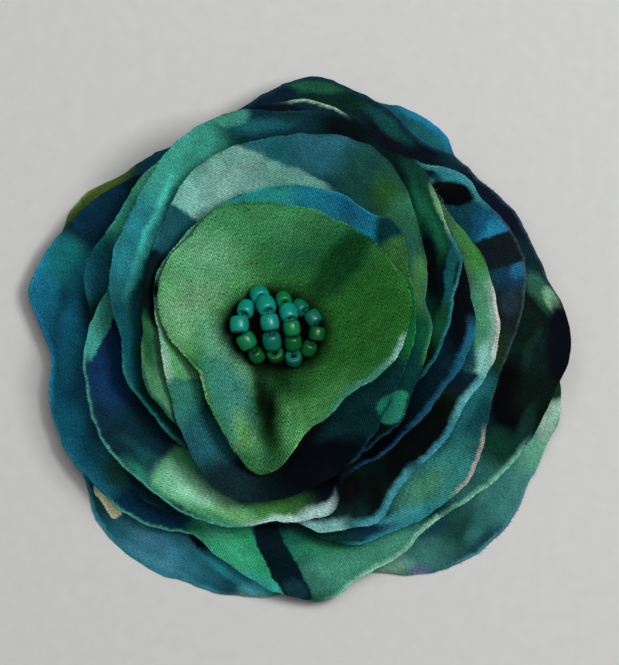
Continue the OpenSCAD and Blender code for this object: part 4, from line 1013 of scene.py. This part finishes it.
def stitch_bundle():
    """The threads that hold the stack, six round one, with their last turns wound flat on the top disc."""
    low, high = FELT_Z - BUNDLE_BELOW, stack_z(1) + BUNDLE_ABOVE
    parts = []
    for n in range(7):
        r = BUNDLE_OUT if n else 0
        turns = [(n + BUNDLE_TWIST * z, z) for z in np.linspace(low, high, 9)]
        path = [(STITCHES[0] + r * math.cos(a), STITCHES[1] + r * math.sin(a), z) for a, z in turns]
        parts.append(ply_thread(path, BUNDLE_R))
    wound = []
    for n in range(WOUND_POINTS):
        r, a = WOUND_FROM + WOUND_OUT * n, WOUND_STEP * n
        wound.append((STITCHES[0] + r * math.cos(a), STITCHES[1] + r * math.sin(a),
                      high + WOUND_UNEVEN * math.sin(1.7 * n)))
    return joined(parts + [ply_thread(wound, SEWING_R)])


# Whip stitches round the felt: how many, how far in from its edge, how far each may turn off true in
# radians, and the seed of those turns
WHIP_COUNT, WHIP_IN, WHIP_TURN, WHIP_SEED = 56, 1.9, 0.09, 8

# Waves of the felt's cut edge and of its faces: depth in millimetres, number in a turn, seed
FELT_EDGE = ((0.14, 34, 71), (0.05, 190, 72))
FELT_WAVE = (0.05, 23, 73)
FELT_STEPS, FELT_RINGS = 448, 24
FELT_CROWDING = 1.6   # above 1, so the rings lie closer towards the edge
FELT_SOFT = 0.4       # how far in the felt's edge is rounded
FELT_TURNS = (60, 25, -25, -60)   # degrees up from straight out, for the points of the rounded edge
DIMPLE_DEEP, DIMPLE_R = 0.3, 0.45


def felt_sheet():
    """The felt disc: a scissor-cut edge, faintly wavy faces, and a dimple where each whip stitch pulls."""
    angle = np.arange(FELT_STEPS) * 360 / FELT_STEPS
    edge = sum((deep * ragged(angle, count, seed) for deep, count, seed in FELT_EDGE), FELT_R)
    t = (1 - (1 - np.linspace(0, 1, FELT_RINGS)) ** FELT_CROWDING)[None, :]
    radius = HOLE_R + t * (edge[:, None] - FELT_SOFT - HOLE_R)
    deep, count, seed = FELT_WAVE
    wave = deep * ragged(angle, count, seed)[:, None] * t
    pull = np.clip(np.cos(np.radians(WHIP_COUNT * angle)), 0, 1)[:, None] ** 4
    dimple = DIMPLE_DEEP * pull * np.exp(-((radius - (FELT_R - WHIP_IN)) / DIMPLE_R) ** 2)
    rows = [(radius[:, n], FELT_Z + FELT_T + wave[:, n]) for n in range(FELT_RINGS)]
    half = FELT_T / 2
    for a in np.radians(FELT_TURNS):
        rim = edge - FELT_SOFT + FELT_SOFT * math.cos(a)
        rows.append((rim, FELT_Z + half + half * math.sin(a) + wave[:, -1]))
    rows += [(radius[:, n], FELT_Z + wave[:, n] + dimple[:, n]) for n in reversed(range(FELT_RINGS))]
    a = np.radians(angle)
    loop = np.stack([np.stack([STITCHES[0] + r * np.cos(a), STITCHES[1] + r * np.sin(a), z], axis=1)
                     for r, z in rows], axis=1)
    return loop.reshape(-1, 3), band_faces(FELT_STEPS, loop.shape[1]).tolist()


def whip_stitch():
    """One stitch at the origin: out of the felt's under face, round its edge and up into the cloth above."""
    edge = WHIP_IN
    return ply_thread([(0.1, 0, 0.35), (0, 0, 0.02), (0.5, 0.16, -0.14), (edge - 0.5, 0.45, -0.12),
                       (edge + 0.1, 0.62, 0.35), (edge + 0.16, 0.78, 1.5), (edge - 0.1, 0.9, 2.6)], SEWING_R)


BAR_HOLE_X = 8.5   # from the bar's middle to each of the two holes that it is sewn through


def pin_stitches():
    """The threads that sew the bar down: out of each hole, over the bar's edge and back into the felt."""
    parts = []
    for x in (-BAR_HOLE_X, BAR_HOLE_X):
        for n, lean in enumerate((-0.7, 0.1, 0.8)):
            for side in (-1, 1):
                path = [(x, 0.1 * side, 5.7), (x + 0.3 * lean, 0.45 * side, 4.55),
                        (x + lean, 1.5 * side, 4.42 - 0.05 * n), (x + 1.3 * lean, 2.6 * side, 4.5),
                        (x + 1.4 * lean, 2.95 * side, 5), (x + 1.4 * lean, 3 * side, 5.9)]
                placed = [(STITCHES[0] + a, STITCHES[1] + b, c) for a, b, c in path]
                parts.append(ply_thread(placed, SEWING_R))
    return joined(parts)


def geometry_tree(name, values):
    """A geometry group with an input for each value, and the outputs of its input node."""
    sockets = [("Geometry", "Geometry")] + [(socket, sort) for socket, (sort, _) in values.items()]
    return open_group(name, "GeometryNodeTree", sockets, ("Geometry", "Geometry"))


def grown(name, obj, tree, values):
    """The plain mesh that a geometry tree makes of an object, with these inputs."""
    modifier = obj.modifiers.new("made", "NODES")
    modifier.node_group = tree
    for item in tree.interface.items_tree:
        if item.item_type == "SOCKET" and item.in_out == "INPUT" and item.name in values:
            modifier[item.identifier] = values[item.name][1]
    bpy.context.view_layer.update()
    graph = bpy.context.evaluated_depsgraph_get()
    mesh = bpy.data.meshes.new_from_object(obj.evaluated_get(graph))
    mesh.name = name
    made = bpy.data.objects.new(name, mesh)
    bpy.context.collection.objects.link(made)
    return made


def round_stitches(thread):
    """Geometry nodes: whip stitches all round the felt, each a little off true."""
    template = mesh_object("stitch_template", *whip_stitch())
    values = {"Stitch": ("Object", template), "Count": ("Int", WHIP_COUNT),
              "Radius": ("Float", (FELT_R - WHIP_IN) * MM), "Seed": ("Int", WHIP_SEED),
              "Thread": ("Material", thread)}
    tree, given = geometry_tree("round_stitches", values)
    ring = add(tree, "GeometryNodeMeshCircle", {"Vertices": given["Count"], "Radius": given["Radius"]})
    here = add(tree, "GeometryNodeInputPosition")
    outwards = add(tree, "FunctionNodeAlignRotationToVector", {"Vector": here}, axis="X", pivot_axis="Z")
    off_true = add(tree, "FunctionNodeRandomValue", {0: (0, 0, -WHIP_TURN), 1: (0, 0, WHIP_TURN),
                                                     "Seed": given["Seed"]}, data_type="FLOAT_VECTOR")
    turned = add(tree, "FunctionNodeRotateRotation", {0: outwards, 1: off_true})
    stitch = add(tree, "GeometryNodeObjectInfo", {"Object": given["Stitch"]})
    placed = add(tree, "GeometryNodeInstanceOnPoints",
                 {"Points": ring, "Instance": stitch.outputs["Geometry"], "Rotation": turned})
    middle = (STITCHES[0] * MM, STITCHES[1] * MM, FELT_Z * MM)
    moved = add(tree, "GeometryNodeTransform", {"Geometry": placed, "Translation": middle})
    real = add(tree, "GeometryNodeRealizeInstances", {"Geometry": moved})
    dressed = add(tree, "GeometryNodeSetMaterial", {"Geometry": real, "Material": given["Thread"]})
    add(tree, "NodeGroupOutput", {0: dressed})
    host = mesh_object("stitch_host", [(0, 0, 0)], [])
    piece = grown("whip_stitches", host, tree, values)
    for scrap in (host, template):
        bpy.data.objects.remove(scrap)
    return piece


# Where a flame left more fibres standing on a rim: disc, angle, half width in degrees, share that stands,
# their longest in millimetres
FRAYS = [
    (1, 320, 40, 0.5, 0.7), (4, 40, 7, 1, 1.9), (4, 48, 24, 0.5, 0.9), (5, 204, 18, 0.6, 0.8),
    (6, 304, 40, 0.4, 0.7), (7, 345, 35, 0.5, 0.8), (8, 308, 27, 0.5, 0.8), (8, 40, 20, 0.5, 0.8),
    (9, 320, 30, 0.5, 0.7),
]
FRAY_STEP = 0.3   # millimetres between two places for a fibre
FRAY_SHARE, FRAY_LONGEST = 0.2, 0.45   # everywhere else
FIBRE_R = 0.028
FIBRE_LOW = 0.03   # the least height above the table
FIBRE_LEAN = (0.9, 0.9, 0.7)
FIBRE_SHORTEST = 0.3   # share of the longest


def fibre():
    """One bent fibre that stands on the origin, a millimetre long."""
    spine = [(0, 0, -0.1), (0.03, 0, 0.35), (0.02, 0.03, 0.7), (-0.04, 0.05, 1)]
    verts = [(x + FIBRE_R * math.cos(a), y + FIBRE_R * math.sin(a), z)
             for x, y, z in spine for a in (0, 2 * math.pi / 3, 4 * math.pi / 3)]
    faces = [(3 * n + i, 3 * n + (i + 1) % 3, 3 * n + 3 + (i + 1) % 3, 3 * n + 3 + i)
             for n in range(len(spine) - 1) for i in range(3)]
    top = 3 * len(spine) - 3
    return verts, faces + [(2, 1, 0), (top, top + 1, top + 2)]


def fray_tree(values):
    """Geometry nodes: fibres that stand out of a rim, spaced, turned and shortened at random."""
    tree, given = geometry_tree("frayed_rim", values)
    curve = add(tree, "GeometryNodeMeshToCurve", {"Mesh": given["Geometry"]})
    spaced = add(tree, "GeometryNodeResampleCurve", {"Curve": curve, "Length": given["Spacing"]},
                 mode="LENGTH")
    outwards, stand, longest = (
        add(tree, "GeometryNodeInputNamedAttribute", {"Name": name}, data_type=kind)
        for name, kind in (("outward", "FLOAT_VECTOR"), ("stand", "FLOAT"), ("longest", "FLOAT")))
    dice = add(tree, "FunctionNodeRandomValue", {2: 0, 3: 1, "Seed": given["Seed"]}, data_type="FLOAT")
    stands = add(tree, "FunctionNodeCompare", {0: dice.outputs[1], 1: stand}, data_type="FLOAT",
                 operation="LESS_THAN")
    second = add(tree, "ShaderNodeMath", {0: given["Seed"], 1: 50}, operation="ADD")
    lean = add(tree, "FunctionNodeRandomValue", {0: [-n for n in FIBRE_LEAN], 1: FIBRE_LEAN, "Seed": second},
               data_type="FLOAT_VECTOR")
    way = add(tree, "ShaderNodeVectorMath", {0: outwards, 1: lean}, operation="ADD")
    turned = add(tree, "FunctionNodeAlignRotationToVector", {"Vector": way}, axis="Z")
    third = add(tree, "ShaderNodeMath", {0: given["Seed"], 1: 90}, operation="ADD")
    part = add(tree, "FunctionNodeRandomValue", {2: FIBRE_SHORTEST, 3: 1, "Seed": third}, data_type="FLOAT")
    long = add(tree, "ShaderNodeMath", {0: part.outputs[1], 1: longest}, operation="MULTIPLY")
    size = add(tree, "ShaderNodeCombineXYZ", {0: 1, 1: 1, 2: long})
    single = add(tree, "GeometryNodeObjectInfo", {"Object": given["Fibre"]})
    placed = add(tree, "GeometryNodeInstanceOnPoints",
                 {"Points": spaced, "Selection": stands, "Instance": single.outputs["Geometry"],
                  "Rotation": turned, "Scale": size})
    real = add(tree, "GeometryNodeRealizeInstances", {"Geometry": placed})
    here = add(tree, "GeometryNodeInputPosition")
    xyz = add(tree, "ShaderNodeSeparateXYZ", {0: here})
    above = add(tree, "ShaderNodeMath", {0: xyz.outputs[2], 1: given["Table"]}, operation="MAXIMUM")
    clear = add(tree, "ShaderNodeCombineXYZ", {0: xyz.outputs[0], 1: xyz.outputs[1], 2: above})
    kept = add(tree, "GeometryNodeSetPosition", {"Geometry": real, "Position": clear})
    dressed = add(tree, "GeometryNodeSetMaterial", {"Geometry": kept, "Material": given["Cloth"]})
    add(tree, "NodeGroupOutput", {0: dressed})
    return tree


def rim_line(k):
    """The rim of disc k as a closed line, with the way out of the cloth and how frayed each point is."""
    grid = cloth_grid(k)
    rim = grid[:, -1] - 0.5 * SATIN_T * grid_normals(grid)[:, -1]
    out = unit(grid[:, -1] - grid[:, -2])
    angle = np.arange(AROUND) * 360 / AROUND
    stand, longest = np.full(AROUND, FRAY_SHARE), np.full(AROUND, FRAY_LONGEST)
    for disc, at, half, share, long in FRAYS:
        if disc == k:
            near = np.exp(-(turn_from(angle, at) / half) ** 4)
            stand = np.maximum(stand, share * near)
            longest = np.maximum(longest, long * near)
    line = mesh_object("rim_line", rim, [])
    line.data.edges.add(AROUND)
    line.data.edges.foreach_set("vertices", [v for i in range(AROUND) for v in (i, (i + 1) % AROUND)])
    for name, kind, field, numbers in (("outward", "FLOAT_VECTOR", "vector", out),
                                       ("stand", "FLOAT", "value", stand),
                                       ("longest", "FLOAT", "value", longest)):
        line.data.attributes.new(name, kind, "POINT").data.foreach_set(field, numbers.ravel())
    return line


def frayed_rims(satins):
    """For each disc, the fibres that a flame leaves standing on its singed edge."""
    template = mesh_object("fibre_template", *fibre())
    tree, pieces = None, {}
    for k, satin in satins.items():
        line = rim_line(k)
        values = {"Fibre": ("Object", template), "Spacing": ("Float", FRAY_STEP * MM),
                  "Table": ("Float", FIBRE_LOW * MM), "Seed": ("Int", k), "Cloth": ("Material", satin)}
        tree = tree or fray_tree(values)
        pieces[k] = grown(f"frayed_rim_{k}", line, tree, values)
        bpy.data.objects.remove(line)
    bpy.data.objects.remove(template)
    return pieces


def make_petals():
    """The nine satin discs, each with the fibres of its rim."""
    patch, band = patch_group(), rim_group()
    satins = {k: printed_satin(k, patch, band) for k in range(1, len(DISCS) + 1)}
    frays = frayed_rims(satins)
    for k, satin in satins.items():
        petal, radius = cloth_mesh(f"satin_petal_{k}", k)
        outward(petal).data.materials.append(satin)
        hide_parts(f"petal_{k}")
        for piece in (petal, frays[k]):
            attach(piece, "root")


def make_threads():
    """All thread: the arches', the stack's, the bar's, and the whip stitches, which it returns."""
    thread = spun_thread()
    pieces = [(mesh_object(f"ply_thread_{n + 1}", *bead_thread(arch)), f"thread_{n + 1}")
              for n, arch in enumerate(ARCHES)]
    pieces += [(mesh_object("stitch_bundle", *stitch_bundle()), "centre_stitch"),
               (mesh_object("pin_stitches", *pin_stitches()), None)]
    for piece, node in pieces:
        outward(piece).data.materials.append(thread)
        if node:
            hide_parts(node)
    whip = round_stitches(thread)
    for piece in [piece for piece, _ in pieces] + [whip]:
        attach(piece, "root")
    return whip


def make_backing(whip):
    """The felt disc, in place of the part's backing; the whip stitches round its edge are made with the
    threads.
    """
    felt = outward(mesh_object("felt_back", *felt_sheet()))
    felt.data.materials.append(pressed_felt())
    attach(felt, "root")
    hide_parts("backing")


def make_beads():
    """Every bead, numbered along the arches."""
    glass = {name: bead_glass("bead_glass_" + name.replace(" ", "_"), colour)
             for name, colour in GLASS.items()}
    number = 0
    for arch in ARCHES:
        for i, bead in enumerate(arch):
            number += 1
            piece = outward(bead_mesh(f"glass_bead_{number:02d}", arch, i, number))
            piece.data.materials.append(glass[bead[5]])
            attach(piece, "root")
            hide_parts(f"bead_{number:02d}")


def dress_pin():
    """The bar pin keeps the part's own solid and is given its metal."""
    steel = nickelled_steel()
    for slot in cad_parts["brooch_pin"].material_slots:
        slot.material = steel


def matt_board():
    """Matt lacquered board: pale, with the faint orange peel of a sprayed coat."""
    material, tree, skin, here = new_material("matt_board")
    peel = add(tree, "ShaderNodeTexNoise", {"Vector": here, "Scale": 1 / (2.5 * MM), "Detail": 3})
    surface(tree, skin, peel.outputs["Fac"], (linear("#c9c9c6"), linear("#d3d3d0")), peel.outputs["Fac"],
            (0.1, 0.1), {"Roughness": 0.8})
    return material


def make_floor():
    """The table top that the brooch lies on, three metres square."""
    half = 1500
    corners = [(-half, -half, 0), (half, -half, 0), (half, half, 0), (-half, half, 0)]
    floor = mesh_object("table_top", corners, [(0, 1, 2, 3)], smooth=False)
    floor.data.materials.append(matt_board())


def area_light(name, place, size, watts):
    """A white rectangular light that faces the brooch."""
    light = bpy.data.lights.new(name, "AREA")
    light.shape = "RECTANGLE"
    light.size, light.size_y = size
    light.energy = watts
    obj = bpy.data.objects.new(name, light)
    obj.location = place
    obj.rotation_euler = (-Vector(place)).to_track_quat("-Z", "Y").to_euler()
    bpy.context.collection.objects.link(obj)


def make_lights():
    """A soft window light, a ceiling light and a faint cool surround."""
    area_light("window", (0.3, 0.13, 0.66), (0.22, 0.22), 3.3)
    area_light("ceiling", (0.02, 0.18, 0.85), (0.5, 0.5), 2.4)
    world = bpy.data.worlds.new("studio")
    world.use_nodes = True
    tree = world.node_tree
    fill(tree, tree.nodes["Background"], {"Color": linear("#e8eef2"), "Strength": 0.12})
    bpy.context.scene.world = world


# The photo's frame: its size, the pixel of the brooch's middle, and millimetres to a pixel
FRAME_W, FRAME_H = 619, 665
MIDDLE_PX = (299.3, 340.5)
MM_PER_PX = 0.183
MID_HEIGHT = 16   # the height that is true to scale
LENS, SENSOR = 300, 36


def make_camera():
    """Straight down and far off, as the photo shows no side of the bloom."""
    data = bpy.data.cameras.new("camera")
    data.lens = LENS
    data.sensor_width = SENSOR
    far = FRAME_H * MM_PER_PX * LENS / SENSOR
    camera = bpy.data.objects.new("camera", data)
    x = (FRAME_W / 2 - MIDDLE_PX[0]) * MM_PER_PX
    y = -(FRAME_H / 2 - MIDDLE_PX[1]) * MM_PER_PX
    camera.location = (x * MM, y * MM, (MID_HEIGHT + far) * MM)
    data.clip_end = 10
    bpy.context.collection.objects.link(camera)
    bpy.context.scene.camera = camera


make_camera()
make_petals()
make_beads()
make_backing(make_threads())
dress_pin()
make_floor()
make_lights()
bpy.context.scene.view_settings.view_transform = "Standard"
